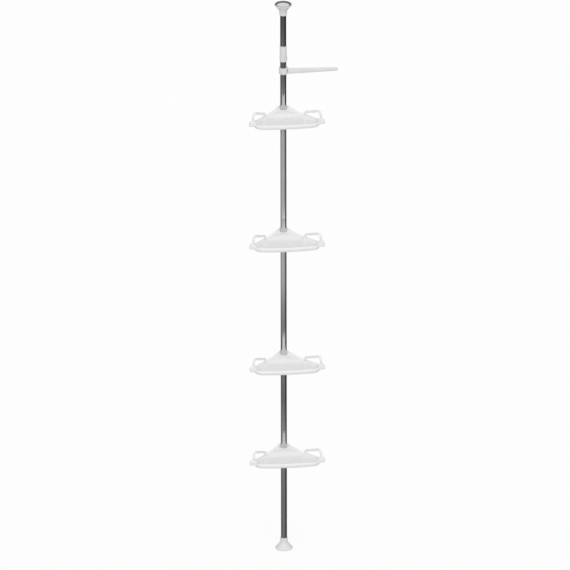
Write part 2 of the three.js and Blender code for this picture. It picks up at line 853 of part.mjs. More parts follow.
place(stand, 'foot_pad', endPad(), darkRubber());
place(stand, 'foot_cap', carve([endCap()]), whitePlastic());
['pole_lower', 'pole_middle', 'pole_upper'].forEach((name, n) => {
  place(stand, name, poleTube(sectionStarts[n], sectionLength), polishedSteel());
});
['coupler_lower', 'coupler_upper'].forEach((name, n) => {
  place(stand, name, coupler(sectionStarts[n + 1] - gap / 2), greyNylon());
});
place(stand, 'spring_seat', springSeat(), greyNylon());
place(stand, 'tension_spring', carve([tensionSpring()]), springSteel());
place(stand, 'adjusting_sleeve', adjustingSleeve(), whitePlastic());
place(stand, 'lock_ring', lockRing(), whitePlastic());
place(stand, 'inner_rod', innerRod(), polishedSteel());
place(stand, 'pole_top', poleTube(topTubeBottom, topTubeLength), polishedSteel());

// The ceiling end is the foot turned over.
const ceiling = new THREE.Group();
ceiling.position.z = standHeight;
ceiling.rotation.x = Math.PI;
place(ceiling, 'ceiling_cap', carve([endCap()]), whitePlastic());
place(ceiling, 'ceiling_pad', endPad(), darkRubber());
stand.add(ceiling);

place(stand, 'towel_bush', towelBush(), greyNylon());
place(stand, 'towel_ring', towelRing(), whitePlastic());
place(stand, 'towel_arm', towelArm(), whitePlastic());
place(stand, 'clamp_knob', clampKnob(), whitePlastic());

const trayGeometry = tray();
trayLevelShares.forEach((share, n) => {
  const shelf = new THREE.Group();
  shelf.position.z = lerp(capHeight, sleeveBottom, share);
  place(shelf, `tray_${n + 1}`, trayGeometry, whitePlastic());
  for (const [word, side] of [['left', -1], ['right', 1]]) {
    place(shelf, `rail_${n + 1}_${word}`, carve([guardRail(side)]), whitePlastic());
    place(shelf, `wedge_${n + 1}_${word}`, wedgeHalf(side), whitePlastic());
  }
  stand.add(shelf);
});

export default stand;
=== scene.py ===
# %% [markdown]
# # Dressing a tension pole shelf
# The object is a polished pole that a spring wedges between floor and ceiling. Four white corner
# trays slide on it, each with two guard rails, and a towel arm swings near the top.
# The engineering model is already packed, so this lesson makes only what the eye sees: smooth
# surfaces worked out with numpy, and finishes made of shader nodes. Every piece stays where the
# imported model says, because the script asks that model for its boxes.

import math

import bpy
import numpy as np
from mathutils import Matrix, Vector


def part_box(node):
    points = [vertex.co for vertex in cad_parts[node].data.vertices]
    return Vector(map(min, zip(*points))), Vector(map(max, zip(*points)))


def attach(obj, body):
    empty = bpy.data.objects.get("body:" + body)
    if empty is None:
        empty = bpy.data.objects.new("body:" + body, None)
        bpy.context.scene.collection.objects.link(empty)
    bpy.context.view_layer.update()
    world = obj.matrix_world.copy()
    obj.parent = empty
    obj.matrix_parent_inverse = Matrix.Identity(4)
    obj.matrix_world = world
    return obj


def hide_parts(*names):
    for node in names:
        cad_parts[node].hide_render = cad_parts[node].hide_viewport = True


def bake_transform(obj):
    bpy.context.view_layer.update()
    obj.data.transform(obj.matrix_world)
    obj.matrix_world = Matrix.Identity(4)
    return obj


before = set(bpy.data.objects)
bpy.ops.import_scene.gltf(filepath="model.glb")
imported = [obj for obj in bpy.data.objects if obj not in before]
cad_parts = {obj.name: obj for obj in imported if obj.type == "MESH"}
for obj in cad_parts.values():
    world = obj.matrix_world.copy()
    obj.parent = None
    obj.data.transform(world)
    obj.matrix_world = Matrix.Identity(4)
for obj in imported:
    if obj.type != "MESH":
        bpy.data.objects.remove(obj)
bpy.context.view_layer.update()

# %% [markdown]
# ## Camera
# The photograph was taken from far away: the trays near the ceiling and near the floor show the same
# tilt. A very long lens does the same, and unlike an orthographic camera it keeps its framing when
# another view moves it. It is no longer than this, because a longer one would stand so far off that
# other views lose the object. The view is 24 degrees from above and 5.6 degrees to the left.

# %% Camera values
VIEW_TURN = math.radians(5.6)
VIEW_DOWN = math.radians(24.0)
VIEW_ROLL = math.radians(-0.09)
LENS = 1500.0
SENSOR = 36.0
FRAME_WIDTH = 2.35524
FRAME_RIGHT = 0.0058
FRAME_UP = 1.0927
TRUE_SIZE_HEIGHT = 1.5
CLIP = 1.0, 400.0


def view_axes(turn, down):
    """Right, forward and up of a camera. Right is the x axis turned clockwise by turn. Forward is the
    y axis turned the same way and dipped by down, and up stands square on both."""
    right = np.array([math.cos(turn), -math.sin(turn), 0.0])
    level = np.array([math.sin(turn), math.cos(turn), 0.0])
    rise = np.array([0.0, 0.0, 1.0])
    forward = level * math.cos(down) - rise * math.sin(down)
    return right, forward, level * math.sin(down) + rise * math.cos(down)


def in_scene(name, data):
    """New object in the scene's own collection."""
    thing = bpy.data.objects.new(name, data)
    bpy.context.scene.collection.objects.link(thing)
    return thing


def aimed(right, up, forward, place):
    """Matrix with the columns right, up, the way back and the place of a thing that looks forward."""
    matrix = np.eye(4)
    for column, values in enumerate((right, up, -forward, place)):
        matrix[:3, column] = values
    return Matrix(matrix.tolist())


def long_lens_camera():
    """The camera stands back by frame width times lens over sensor, measured from the point of the pole
    at TRUE_SIZE_HEIGHT, so the frame has that width there. Roll turns right and up about forward."""
    right, forward, up = view_axes(VIEW_TURN, VIEW_DOWN)
    back = FRAME_WIDTH * LENS / SENSOR + TRUE_SIZE_HEIGHT * math.sin(VIEW_DOWN)
    place = right * FRAME_RIGHT + up * FRAME_UP - forward * back
    rolled_right = right * math.cos(VIEW_ROLL) + up * math.sin(VIEW_ROLL)
    rolled_up = up * math.cos(VIEW_ROLL) - right * math.sin(VIEW_ROLL)
    data = bpy.data.cameras.new("camera")
    data.lens = LENS
    data.sensor_width = SENSOR
    data.clip_start, data.clip_end = CLIP
    camera = in_scene("camera", data)
    camera.matrix_world = aimed(rolled_right, rolled_up, forward, place)
    return camera


camera = long_lens_camera()
bpy.context.scene.camera = camera
bpy.context.scene.view_settings.view_transform = "Standard"
print("camera at", [round(v, 2) for v in camera.matrix_world.translation])

# %% [markdown]
# ## Surfaces from arrays
# Every new piece is a stack of closed loops of points. A loop is one row of an array, so a whole
# surface is an array of rows, columns and three coordinates. One function turns such a stack into a
# mesh, joins row to row with quads and closes the two ends. Sizes are in millimetres, as on the
# drawing, and become metres only here.

# %% Loops into meshes
MM = 0.001
SHARP_ANGLE = math.radians(38)


def round_angles(steps):
    """Evenly spaced angles round a full circle."""
    return np.linspace(0, 2 * math.pi, steps, endpoint=False)


def quad_skin(rows, columns, wrap_rows):
    """Corner numbers of the quads between neighbouring loops: point j of loop i joins point j + 1 of
    the same loop and both their neighbours in loop i + 1. The last column joins the first."""
    last = rows if wrap_rows else rows - 1
    i, j = np.meshgrid(np.arange(last), np.arange(columns), indexing="ij")
    below, beside = (i + 1) % rows, (j + 1) % columns
    corners = [i * columns + j, i * columns + beside, below * columns + beside, below * columns + j]
    return np.stack(corners, axis=-1).reshape(-1, 4)


def signed_volume(points, faces):
    """Six times the volume inside some quads: the sum of each triangle's corner products."""
    a, b, c, d = (points[faces[:, k]] for k in range(4))
    return float((a * np.cross(b, c)).sum() + (a * np.cross(c, d)).sum())


class Shell:
    """Points and faces of one closed surface, which can be added to another before it is a mesh."""

    def __init__(self, points, faces):
        self.points = points
        self.faces = faces

    def __add__(self, other):
        shift = len(self.points)
        moved = [[k + shift for k in face] for face in other.faces]
        return Shell(np.concatenate([self.points, other.points]), self.faces + moved)


def skin(loops, wrap_rows=False):
    """Closed shell over loops of the shape rows, columns, 3. Ends get one flat face each, unless the
    last loop joins the first. Faces are turned round if the volume comes out negative."""
    loops = np.asarray(loops, float)
    rows, columns = loops.shape[:2]
    points = loops.reshape(-1, 3)
    quads = quad_skin(rows, columns, wrap_rows)
    middle = points.mean(axis=0)
    inside_out = signed_volume(points - middle, quads) < 0
    if inside_out:
        quads = quads[:, ::-1]
    faces = quads.tolist()
    if not wrap_rows:
        first = list(range(columns))
        last = [k + (rows - 1) * columns for k in range(columns)]
        faces += [first if inside_out else first[::-1], last[::-1] if inside_out else last]
    return Shell(points, faces)


def smooth_object(name, mesh):
    """Object with this mesh, smooth except at edges sharper than SHARP_ANGLE."""
    mesh.shade_smooth()
    mesh.set_sharp_from_angle(angle=SHARP_ANGLE)
    return in_scene(name, mesh)


def as_object(name, shell):
    """Smooth object from a shell, in metres."""
    mesh = bpy.data.meshes.new(name)
    mesh.from_pydata((shell.points * MM).tolist(), [], shell.faces)
    return smooth_object(name, mesh)


# %% [markdown]
# A profile is a list of corners, and moulded or turned parts have no truly sharp ones. So each
# corner carries a radius, and one function rounds them all. A turned piece is that profile carried
# round the pole's axis, and a swept piece is a circle carried along a path. A turned solid ends on the
# axis in a dot, a flat face so small that nobody sees it.

# %% Rounded profiles, turned and swept pieces
TURN_STEPS = 96
AXIS_DOT = 0.4


def quadratic(start, pull, end, t):
    """Quadratic blend from start to end, drawn towards pull between them."""
    return (1 - t) ** 2 * start + 2 * t * (1 - t) * pull + t ** 2 * end


def rounded(corners, steps=5, closed=False):
    """Rounds each corner given as across, up, radius. The arc leaves each side at one distance from
    the corner, radius times the tangent of half the turn, and is drawn as a quadratic blend."""
    places = np.array([corner[:2] for corner in corners], float)
    out = []
    for k, (across, up, radius) in enumerate(corners):
        ends = not closed and k in (0, len(corners) - 1)
        if radius == 0 or ends:
            out.append(places[k][None])
            continue
        before = places[k - 1] - places[k]
        after = places[(k + 1) % len(corners)] - places[k]
        long_before, long_after = np.linalg.norm(before), np.linalg.norm(after)
        before, after = before / long_before, after / long_after
        half = (math.pi - math.acos(np.clip(before @ after, -1, 1))) / 2
        reach = min(radius * math.tan(half), 0.49 * long_before, 0.49 * long_after)
        t = np.linspace(0, 1, steps + 1)[:, None]
        start, end = places[k] + before * reach, places[k] + after * reach
        weight = math.cos(half)
        mix = (1 - t) ** 2 + 2 * weight * t * (1 - t) + t ** 2
        out.append(((1 - t) ** 2 * start + 2 * weight * t * (1 - t) * places[k] + t ** 2 * end) / mix)
    return np.concatenate(out)


def turned(profile, steps=TURN_STEPS, wrap=False, wave=None):
    """Profile of radius and height carried round the z axis: a point at angle a lies at radius times
    cosine and sine of a. wave, if given, changes the radius with the angle and the height."""
    profile = np.asarray(profile, float)
    angle = round_angles(steps)
    radius = np.repeat(profile[:, :1], steps, axis=1)
    height = np.repeat(profile[:, 1:2], steps, axis=1)
    if wave is not None:
        radius = radius + wave(angle[None, :], radius, height)
    loops = np.stack([radius * np.cos(angle), radius * np.sin(angle), height], axis=-1)
    return skin(loops, wrap_rows=wrap)


def swept(path, across, radii, sides=20):
    """Circle carried along a path, with a radius for every point of it. across is square to the path,
    one direction for all of it or one for each point, and the circle's other direction is the path's
    own direction crossed with it."""
    path = np.asarray(path, float)
    across = np.broadcast_to(across, path.shape)
    along = np.gradient(path, axis=0)
    along /= np.linalg.norm(along, axis=1, keepdims=True)
    other = np.cross(along, across)
    angle = round_angles(sides)[:, None]
    ring = np.cos(angle) * across[:, None] + np.sin(angle) * other[:, None]
    return skin(path[:, None, :] + np.reshape(radii, (-1, 1, 1)) * ring)


# %% [markdown]
# ## Finishes
# The real object has few finishes, but none of them is a flat colour. Moulded plastic has a faint
# mottle in colour and gloss and a fine grain that breaks up highlights. The caps, the sleeve and the
# towel holder are a shade greyer than the trays. A polished tube has drawing lines along its length.
# All patterns read object coordinates, so they stay on the piece.

# %% Node helpers
NOISE_SPAN = 0.3, 0.7


def add_node(tree, kind, inputs=None, **settings):
    """New shader node with its settings and its unlinked socket values."""
    node = tree.nodes.new(kind)
    for key, value in settings.items():
        setattr(node, key, value)
    for key, value in (inputs or {}).items():
        node.inputs[key].default_value = value
    return node


def new_material(name, shader_values):
    """Material with one principled shader, whose even values sit on its own sockets."""
    material = bpy.data.materials.new(name)
    material.use_nodes = True
    tree = material.node_tree
    tree.nodes.clear()
    shader = add_node(tree, "ShaderNodeBsdfPrincipled", shader_values)
    output = add_node(tree, "ShaderNodeOutputMaterial")
    tree.links.new(shader.outputs["BSDF"], output.inputs["Surface"])
    return material, tree, shader


def object_noise(tree, scale, stretch=(1, 1, 1), detail=3.0):
    """Noise on object coordinates, stretched along an axis by scaling the others up."""
    place = add_node(tree, "ShaderNodeTexCoord")
    mapping = add_node(tree, "ShaderNodeMapping", {"Scale": stretch})
    values = {"Scale": scale, "Detail": detail, "Roughness": 0.55}
    noise = add_node(tree, "ShaderNodeTexNoise", values)
    tree.links.new(place.outputs["Object"], mapping.inputs["Vector"])
    tree.links.new(mapping.outputs["Vector"], noise.inputs["Vector"])
    return noise.outputs["Fac"]


def vary_colour(tree, shader, source, dark, light):
    """Colour runs from dark to light over the middle of the noise's range."""
    ramp = add_node(tree, "ShaderNodeValToRGB")
    for element, place, colour in zip(ramp.color_ramp.elements, NOISE_SPAN, (dark, light)):
        element.position, element.color = place, (*colour, 1)
    tree.links.new(source, ramp.inputs["Fac"])
    tree.links.new(ramp.outputs["Color"], shader.inputs["Base Color"])


def vary_roughness(tree, shader, source, low, high):
    """Roughness runs from low to high with the noise."""
    spread = add_node(tree, "ShaderNodeMapRange", {"To Min": low, "To Max": high})
    spread.inputs["From Min"].default_value, spread.inputs["From Max"].default_value = NOISE_SPAN
    tree.links.new(source, spread.inputs["Value"])
    tree.links.new(spread.outputs["Result"], shader.inputs["Roughness"])


def add_bump(tree, shader, source, strength, depth_mm):
    """Fine relief from a noise, depth_mm deep at full strength."""
    bump = add_node(tree, "ShaderNodeBump", {"Strength": strength, "Distance": depth_mm * MM})
    tree.links.new(source, bump.inputs["Height"])
    tree.links.new(bump.outputs["Normal"], shader.inputs["Normal"])


# %% Moulded plastics and rubber
GRAIN_DEPTH = 0.06


def moulded(name, dark, light, low, high, grain=900.0):
    """Moulded polymer: slow mottle in colour, quicker mottle in gloss and a fine grain."""
    material, tree, shader = new_material(name, {"IOR": 1.49, "Specular IOR Level": 0.4})
    vary_colour(tree, shader, object_noise(tree, 22.0), dark, light)
    vary_roughness(tree, shader, object_noise(tree, 90.0), low, high)
    add_bump(tree, shader, object_noise(tree, grain, detail=2.0), 0.35, GRAIN_DEPTH)
    return material


# A greyer copy of the trays' white plastic, for the caps, the sleeve and the towel holder.
greyer_white = moulded("greyer_white", (0.735, 0.735, 0.73), (0.765, 0.765, 0.76), 0.36, 0.48)
finishes = {
    "white_plastic": moulded("white_plastic", (0.845, 0.845, 0.84), (0.875, 0.875, 0.87), 0.34, 0.46),
    "grey_nylon": moulded("grey_nylon", (0.50, 0.51, 0.50), (0.60, 0.61, 0.60), 0.5, 0.64, 700.0),
    "rubber": moulded("dark_rubber", (0.10, 0.10, 0.102), (0.14, 0.14, 0.142), 0.74, 0.9, 500.0),
}

# %% [markdown]
# The tube is chromed and polished. Its grain runs along the tube, so the noise is squeezed across
# the axis and stretched along it, and it touches only roughness and a very shallow bump.

# %% Metals
def drawn_metal(name, dark, light, low, high, relief):
    """Metal with drawing lines along z: noise finely scaled across and coarsely along."""
    material, tree, shader = new_material(name, {"Metallic": 1.0})
    lines = object_noise(tree, 260.0, stretch=(1, 1, 0.012), detail=4.0)
    cloud = object_noise(tree, 14.0)
    vary_colour(tree, shader, cloud, dark, light)
    vary_roughness(tree, shader, lines, low, high)
    add_bump(tree, shader, lines, 0.2, relief)
    return material


for name, dark, light, low, high, relief in (
    ("polished_steel", (0.62, 0.63, 0.64), (0.68, 0.69, 0.70), 0.07, 0.15, 0.01),
    ("spring_steel", (0.24, 0.24, 0.25), (0.32, 0.32, 0.33), 0.3, 0.42, 0.02),
):
    finishes[name] = drawn_metal(name, dark, light, low, high, relief)
print("finishes:", sorted(finishes))


def dress(thing, slot, body, *nodes, finish=None):
    """Gives a new piece its finish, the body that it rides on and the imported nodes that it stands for.
    The finish is the slot's own one, unless another is named."""
    thing.data.materials.clear()
    thing.data.materials.append(finish or finishes[slot])
    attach(thing, body)
    if nodes:
        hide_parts(*nodes)
    corners = (np.array(thing.bound_box) / MM).round(1)
    print(thing.name, len(thing.data.polygons), "faces, mm", corners.min(axis=0), corners.max(axis=0))


def dress_greyer(name, shell, body, node):
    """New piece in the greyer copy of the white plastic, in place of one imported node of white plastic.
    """
    dress(as_object(name, shell), "white_plastic", body, node, finish=greyer_white)


def node_span(node):
    """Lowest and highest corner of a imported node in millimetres."""
    return np.array(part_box(node)) / MM


# %% [markdown]
# ## Pole
# The pole is one thin tube cut in four, and a fifth rod slides inside. Its walls are turned
# profiles: an outer and an inner line with deburred ends. They close on themselves, so the last loop
# joins the first and no end face is needed. Whatever slides on the pole has the same slightly wider
# bore.

# %% Tubes
TUBE_RADIUS = 12.5
TUBE_WALL = 0.8
TUBE_DEBURR = 0.35
SLIDING_BORE = 12.8


def tube(bottom, top):
    """Hollow tube: a thin rectangle of wall and length, its corners rounded, turned about z."""
    bore = TUBE_RADIUS - TUBE_WALL
    corners = [(bore, bottom), (TUBE_RADIUS, bottom), (TUBE_RADIUS, top), (bore, top)]
    return turned(rounded([(*corner, TUBE_DEBURR) for corner in corners], closed=True), wrap=True)


for word, body in (("lower", "pole"), ("middle", "pole"), ("upper", "pole"), ("top", "top_section")):
    low, high = node_span(f"pole_{word}")
    piece = as_object(f"tube_{word}", tube(low[2], high[2]))
    dress(piece, "polished_steel", body, f"pole_{word}")

# %% [markdown]
# ## End caps
# The foot and the ceiling cap are the same moulding: a collar for the tube that flares like a
# trumpet into a flange. The flare is a quadratic blend between the collar and the flange edge, and
# the flange edge is a small roll. The rubber ring sits in a cup in its face.

# %% Cap and pad profiles
CAP_HEIGHT = 49.0
CAP_FLANGE_RADIUS, CAP_FLANGE_HEIGHT = 36.0, 4.2
CAP_WAIST_RADIUS, CAP_WAIST_HEIGHT = 16.5, 28.0
CAP_MOUTH_RADIUS = 15.2
CAP_BORE_RADIUS = 12.8
CAP_SOCKET_DEPTH = 25.0
CAP_CUP_RADIUS, CAP_CUP_HEIGHT = 33.4, 5.2
PAD_PROUD = 0.6
PAD_RADIUS = 33.1
PAD_TOP = 4.9
PAD_SOLE = 2.0


def cap_profile():
    """Section of a cap from the cup's middle round the flange, up the flare to the collar and down
    the socket to its floor. Up is away from the face that meets the floor or the ceiling."""
    t = np.linspace(0, 1, 28)[:, None]
    low = np.array([CAP_FLANGE_RADIUS, CAP_FLANGE_HEIGHT])
    high = np.array([CAP_WAIST_RADIUS, CAP_WAIST_HEIGHT])
    flare = quadratic(low, low + (high - low) * np.array([0.54, 0.4]), high, t)
    face = rounded([
        (0.5, CAP_CUP_HEIGHT, 0), (CAP_CUP_RADIUS, CAP_CUP_HEIGHT, 0.5),
        (CAP_CUP_RADIUS, PAD_PROUD, 0.5), (CAP_FLANGE_RADIUS, PAD_PROUD, 1.6), (*low, 0),
    ])
    socket_floor = CAP_HEIGHT - CAP_SOCKET_DEPTH
    socket = rounded([
        (CAP_MOUTH_RADIUS, CAP_HEIGHT - 4, 0), (CAP_MOUTH_RADIUS, CAP_HEIGHT, 0.9),
        (CAP_BORE_RADIUS, CAP_HEIGHT, 0.5), (CAP_BORE_RADIUS, socket_floor, 0.3),
        (0.5, socket_floor, 0),
    ])
    return np.concatenate([face[:-1], flare, socket])


def pad_profile():
    """Ring with a flat sole and a hollow cone inside it."""
    inner = PAD_RADIUS - PAD_SOLE
    return rounded([
        (PAD_RADIUS, 0, 0.5), (PAD_RADIUS, PAD_TOP, 0.3), (inner - 5, PAD_TOP, 0.3),
        (inner - 5, 3.5, 0.4), (inner, 0, 0.5),
    ], closed=True)


def turned_over(profile, height):
    """The same section upside down below a ceiling at that height."""
    return np.stack([profile[:, 0], height - profile[:, 1]], axis=1)


ceiling = node_span("ceiling_pad")[1][2]
for word, body in (("foot", "pole"), ("ceiling", "top_section")):
    cap, pad = cap_profile(), pad_profile()
    if word == "ceiling":
        cap, pad = turned_over(cap, ceiling), turned_over(pad, ceiling)
    dress_greyer(f"cap_{word}", turned(cap), body, f"{word}_cap")
    dress(as_object(f"pad_{word}", turned(pad, wrap=True)), "rubber", body, f"{word}_pad")

# %% [markdown]
# ## Adjusting sleeve and lock ring
# Below the ceiling a sleeve covers the joint of the two tubes. A ring under it closes a slit skirt on
# the pole. The ring is fluted for the fingers and has one thumb tab, so its radius is a wave of the
# angle. The tab is a smooth hump in the same wave, which needs no second piece.

# %% Sleeve and ring
SLEEVE_BOTTOM = node_span("lock_ring")[0][2]
SLEEVE_TOP = node_span("adjusting_sleeve")[1][2]
SLEEVE_RADIUS = 14.5
SLEEVE_GROOVE = 0.35
SKIRT_RADIUS = 13.7
RING_HEIGHT = 22.0
RING_RADIUS = 15.4
RING_FLOOR = 1.6
FLUTE_COUNT = 9
FLUTE_DEPTH = 0.5
TAB_PROUD = 1.6
TAB_SPREAD = 0.22


def sleeve_profile():
    """Closed section of the sleeve: bore, skirt below, a shoulder, the body with a groove near its top
    and a softened top edge."""
    body_bottom = SLEEVE_BOTTOM + RING_HEIGHT + 0.3
    skirt_bottom = SLEEVE_BOTTOM + RING_FLOOR + 0.3
    groove = SLEEVE_RADIUS - SLEEVE_GROOVE
    return rounded([
        (SLIDING_BORE, skirt_bottom, 0.2), (SKIRT_RADIUS, skirt_bottom, 0.2),
        (SKIRT_RADIUS, body_bottom, 0.1), (SLEEVE_RADIUS, body_bottom, 0.5),
        (SLEEVE_RADIUS, SLEEVE_TOP - 5.4, 0.3), (groove, SLEEVE_TOP - 5.0, 0.3),
        (groove, SLEEVE_TOP - 4.2, 0.3), (SLEEVE_RADIUS, SLEEVE_TOP - 3.8, 0.3),
        (SLEEVE_RADIUS, SLEEVE_TOP, 1.6), (SLIDING_BORE, SLEEVE_TOP, 0.5),
    ], closed=True)


def ring_wave(angle, radius, height):
    """Flutes: half the depth times one minus the cosine of nine times the angle, taken off. The thumb
    tab adds a smooth hump round angle zero. Both act on the outer wall only."""
    outer = radius > SKIRT_RADIUS + 0.8
    flutes = -FLUTE_DEPTH * (1 - np.cos(FLUTE_COUNT * angle)) / 2
    off = np.arctan2(np.sin(angle), np.cos(angle)) / TAB_SPREAD
    high = (height - SLEEVE_BOTTOM - RING_HEIGHT / 2) / (RING_HEIGHT / 2 - 1.5)
    tab = TAB_PROUD * np.exp(-off ** 2) * np.clip(1 - np.abs(high) ** 6, 0, 1)
    return np.where(outer, flutes + tab, 0.0)


def ring_profile():
    """Closed section of the lock ring: a floor under the skirt's end and a thin wall round it."""
    top, floor_top = SLEEVE_BOTTOM + RING_HEIGHT, SLEEVE_BOTTOM + RING_FLOOR
    bore = SKIRT_RADIUS + 0.3
    wall = [(RING_RADIUS, SLEEVE_BOTTOM + RING_HEIGHT * k / 8, 0) for k in range(1, 8)]
    return rounded([
        (SLIDING_BORE, SLEEVE_BOTTOM, 0.4), (RING_RADIUS, SLEEVE_BOTTOM, 1.0), *wall,
        (RING_RADIUS, top, 0.8), (bore, top, 0.3), (bore, floor_top, 0.1),
        (SLIDING_BORE, floor_top, 0.3),
    ], closed=True)


dress_greyer("sleeve", turned(sleeve_profile(), wrap=True), "pole", "adjusting_sleeve")
ring = turned(ring_profile(), steps=24 * FLUTE_COUNT, wrap=True, wave=ring_wave)
dress_greyer("ring_lock", ring, "lock_ring", "lock_ring")

# %% [markdown]
# ## Towel holder
# A ring turns on a bush, a round knob clamps it, and a tapered arm swings with it. The ring and the
# knob are turned about two axes that cross: turning a shell by a right angle points its axis forward.
# The arm is a stack of superellipses, squarish ovals whose two halves follow a power of the cosine
# and of the sine, and they shrink to a rounded tip.

# %% Ring, bush and knob
BUSH_LOW, BUSH_HIGH = node_span("towel_bush")[:, 2]
BUSH_FLANGE = 2.5
HOLDER_LOW, HOLDER_HIGH = BUSH_LOW + BUSH_FLANGE, BUSH_HIGH + 1.0
HOLDER_MIDDLE = (HOLDER_LOW + HOLDER_HIGH) / 2
HOLDER_RADIUS = 18.5
HOLDER_BORE = 14.7
BUSH_RADIUS = 14.4
BUSH_FLANGE_RADIUS = 17.0
BUSH_HALF_SLIT = 1.0
BOSS_RADIUS = 7.0
BOSS_BACK, BOSS_FACE = 16.0, 20.0
KNOB_RADIUS = 8.3
KNOB_BACK, KNOB_FACE = 20.3, 25.8
SCREW_RADIUS = 2.5
KNOB_DISH = 24.6


def facing_forward(shell, height):
    """Turns a shell's z axis to point along -y and lifts it: x stays, y becomes -z, z becomes y."""
    x, y, z = shell.points.T
    return Shell(np.stack([x, -z, y + height], axis=1), shell.faces)


def part_turned(profile, start, end, steps=48):
    """Closed profile carried round z from one angle to another, with flat ends there."""
    profile = np.asarray(profile, float)
    angle = np.linspace(start, end, steps)[:, None]
    radius, height = profile[None, :, 0], profile[None, :, 1]
    loops = np.stack([radius * np.cos(angle), radius * np.sin(angle), height + 0 * angle], axis=-1)
    return skin(loops)


holder_section = rounded([
    (HOLDER_BORE, HOLDER_LOW, 0.4), (HOLDER_RADIUS, HOLDER_LOW, 1.8),
    (HOLDER_RADIUS, HOLDER_HIGH, 1.8), (HOLDER_BORE, HOLDER_HIGH, 0.6),
], closed=True)
boss_section = rounded([
    (AXIS_DOT, BOSS_BACK, 0), (BOSS_RADIUS, BOSS_BACK, 0.2), (BOSS_RADIUS, BOSS_FACE, 0.7),
    (AXIS_DOT, BOSS_FACE, 0),
])
boss = facing_forward(turned(boss_section, steps=48), HOLDER_MIDDLE)
dress_greyer("holder_ring", turned(holder_section, wrap=True) + boss, "towel_holder", "towel_ring")

bush_step = HOLDER_LOW - 0.3
bush_section = rounded([
    (SLIDING_BORE, BUSH_LOW, 0.3), (BUSH_FLANGE_RADIUS, BUSH_LOW, 0.6),
    (BUSH_FLANGE_RADIUS, bush_step, 0.4), (BUSH_RADIUS, bush_step, 0.1), (BUSH_RADIUS, BUSH_HIGH, 0.3),
    (SLIDING_BORE, BUSH_HIGH, 0.3),
], closed=True)
slit = BUSH_HALF_SLIT / SLIDING_BORE
bush = part_turned(bush_section, math.pi / 2 + slit, 5 * math.pi / 2 - slit, steps=TURN_STEPS)
dress(as_object("holder_bush", bush), "grey_nylon", "towel_slider", "towel_bush")

knob_section = rounded([
    (AXIS_DOT, HOLDER_BORE, 0), (SCREW_RADIUS, HOLDER_BORE, 0.2), (SCREW_RADIUS, KNOB_BACK, 0.1),
    (KNOB_RADIUS, KNOB_BACK, 0.6), (KNOB_RADIUS, KNOB_FACE, 1.6), (4.9, KNOB_FACE, 0.5),
    (3.4, KNOB_DISH, 1.0), (AXIS_DOT, KNOB_DISH, 0),
])
knob = facing_forward(turned(knob_section, steps=64), HOLDER_MIDDLE)
dress_greyer("holder_knob", knob, "clamp_knob", "clamp_knob")

# %% Towel arm
ARM_START = 18.8
ARM_END = 225.9
ARM_TIP_ROUND = 7.0
ARM_HEIGHTS = (24.0, 14.0)
ARM_THICKNESSES = (14.0, 9.0)
ARM_FORWARD = 5.0
ARM_DROP = 2.0
ARM_POWER = 2.0 / 3.0


def towel_arm():
    """Superellipses along x: across is thickness times the cosine, up is height times the sine, each
    to a power below one that squares the oval. Both sizes shrink evenly along the arm, and the last
    stretch shrinks them again by the same power of a quarter turn's cosine."""
    steps, sides, tip = 40, 48, ARM_END - ARM_TIP_ROUND
    quarter = np.linspace(0, math.pi / 2 * 0.97, 16)[1:]
    x = np.concatenate([np.linspace(ARM_START, tip, steps), tip + ARM_TIP_ROUND * np.sin(quarter)])
    shrink = np.concatenate([np.ones(steps), np.cos(quarter) ** ARM_POWER])
    shrink[0] = 0.95
    share = (x - ARM_START) / (ARM_END - ARM_START)
    high = np.interp(share, [0, 1], ARM_HEIGHTS) / 2 * shrink
    thick = np.interp(share, [0, 1], ARM_THICKNESSES) / 2 * shrink
    angle = round_angles(sides)
    across, up = (np.sign(v) * np.abs(v) ** ARM_POWER for v in (np.cos(angle), np.sin(angle)))
    y = thick[:, None] * across - ARM_FORWARD
    z = high[:, None] * up + HOLDER_MIDDLE - ARM_DROP
    return skin(np.stack([np.repeat(x[:, None], sides, axis=1), y, z], axis=-1))


dress_greyer("holder_arm", towel_arm(), "towel_holder", "towel_arm")

# %% [markdown]
# ## Trays
# A tray is one moulding: a floor, thin walls along the two sides that meet at the pole, a deep
# rounded lip in front, and a rim that climbs to a peak round the pole. It is lofted: a walk round the
# edge gives a place and an inward direction, and a cross-section there is a short list of insets and
# heights that change smoothly from wall to lip. A cubic B-spline through each list rounds every edge.

# %% The walk round the edge
TRAY_HALF_WIDTH = 136.0
TRAY_SIDE_LENGTH = 63.6
TRAY_BOW = 9.7
TRAY_HUB_RADIUS = 17.0
TRAY_APEX = TRAY_HUB_RADIUS * math.sqrt(2)
TRAY_CORNER_REACH = TRAY_HALF_WIDTH - TRAY_APEX + TRAY_SIDE_LENGTH
TRAY_FRONT_REACH = TRAY_CORNER_REACH + TRAY_BOW
SIDE_ROUND = 30.0
FRONT_ROUND = 36.0
WALK_STEP = 4.5


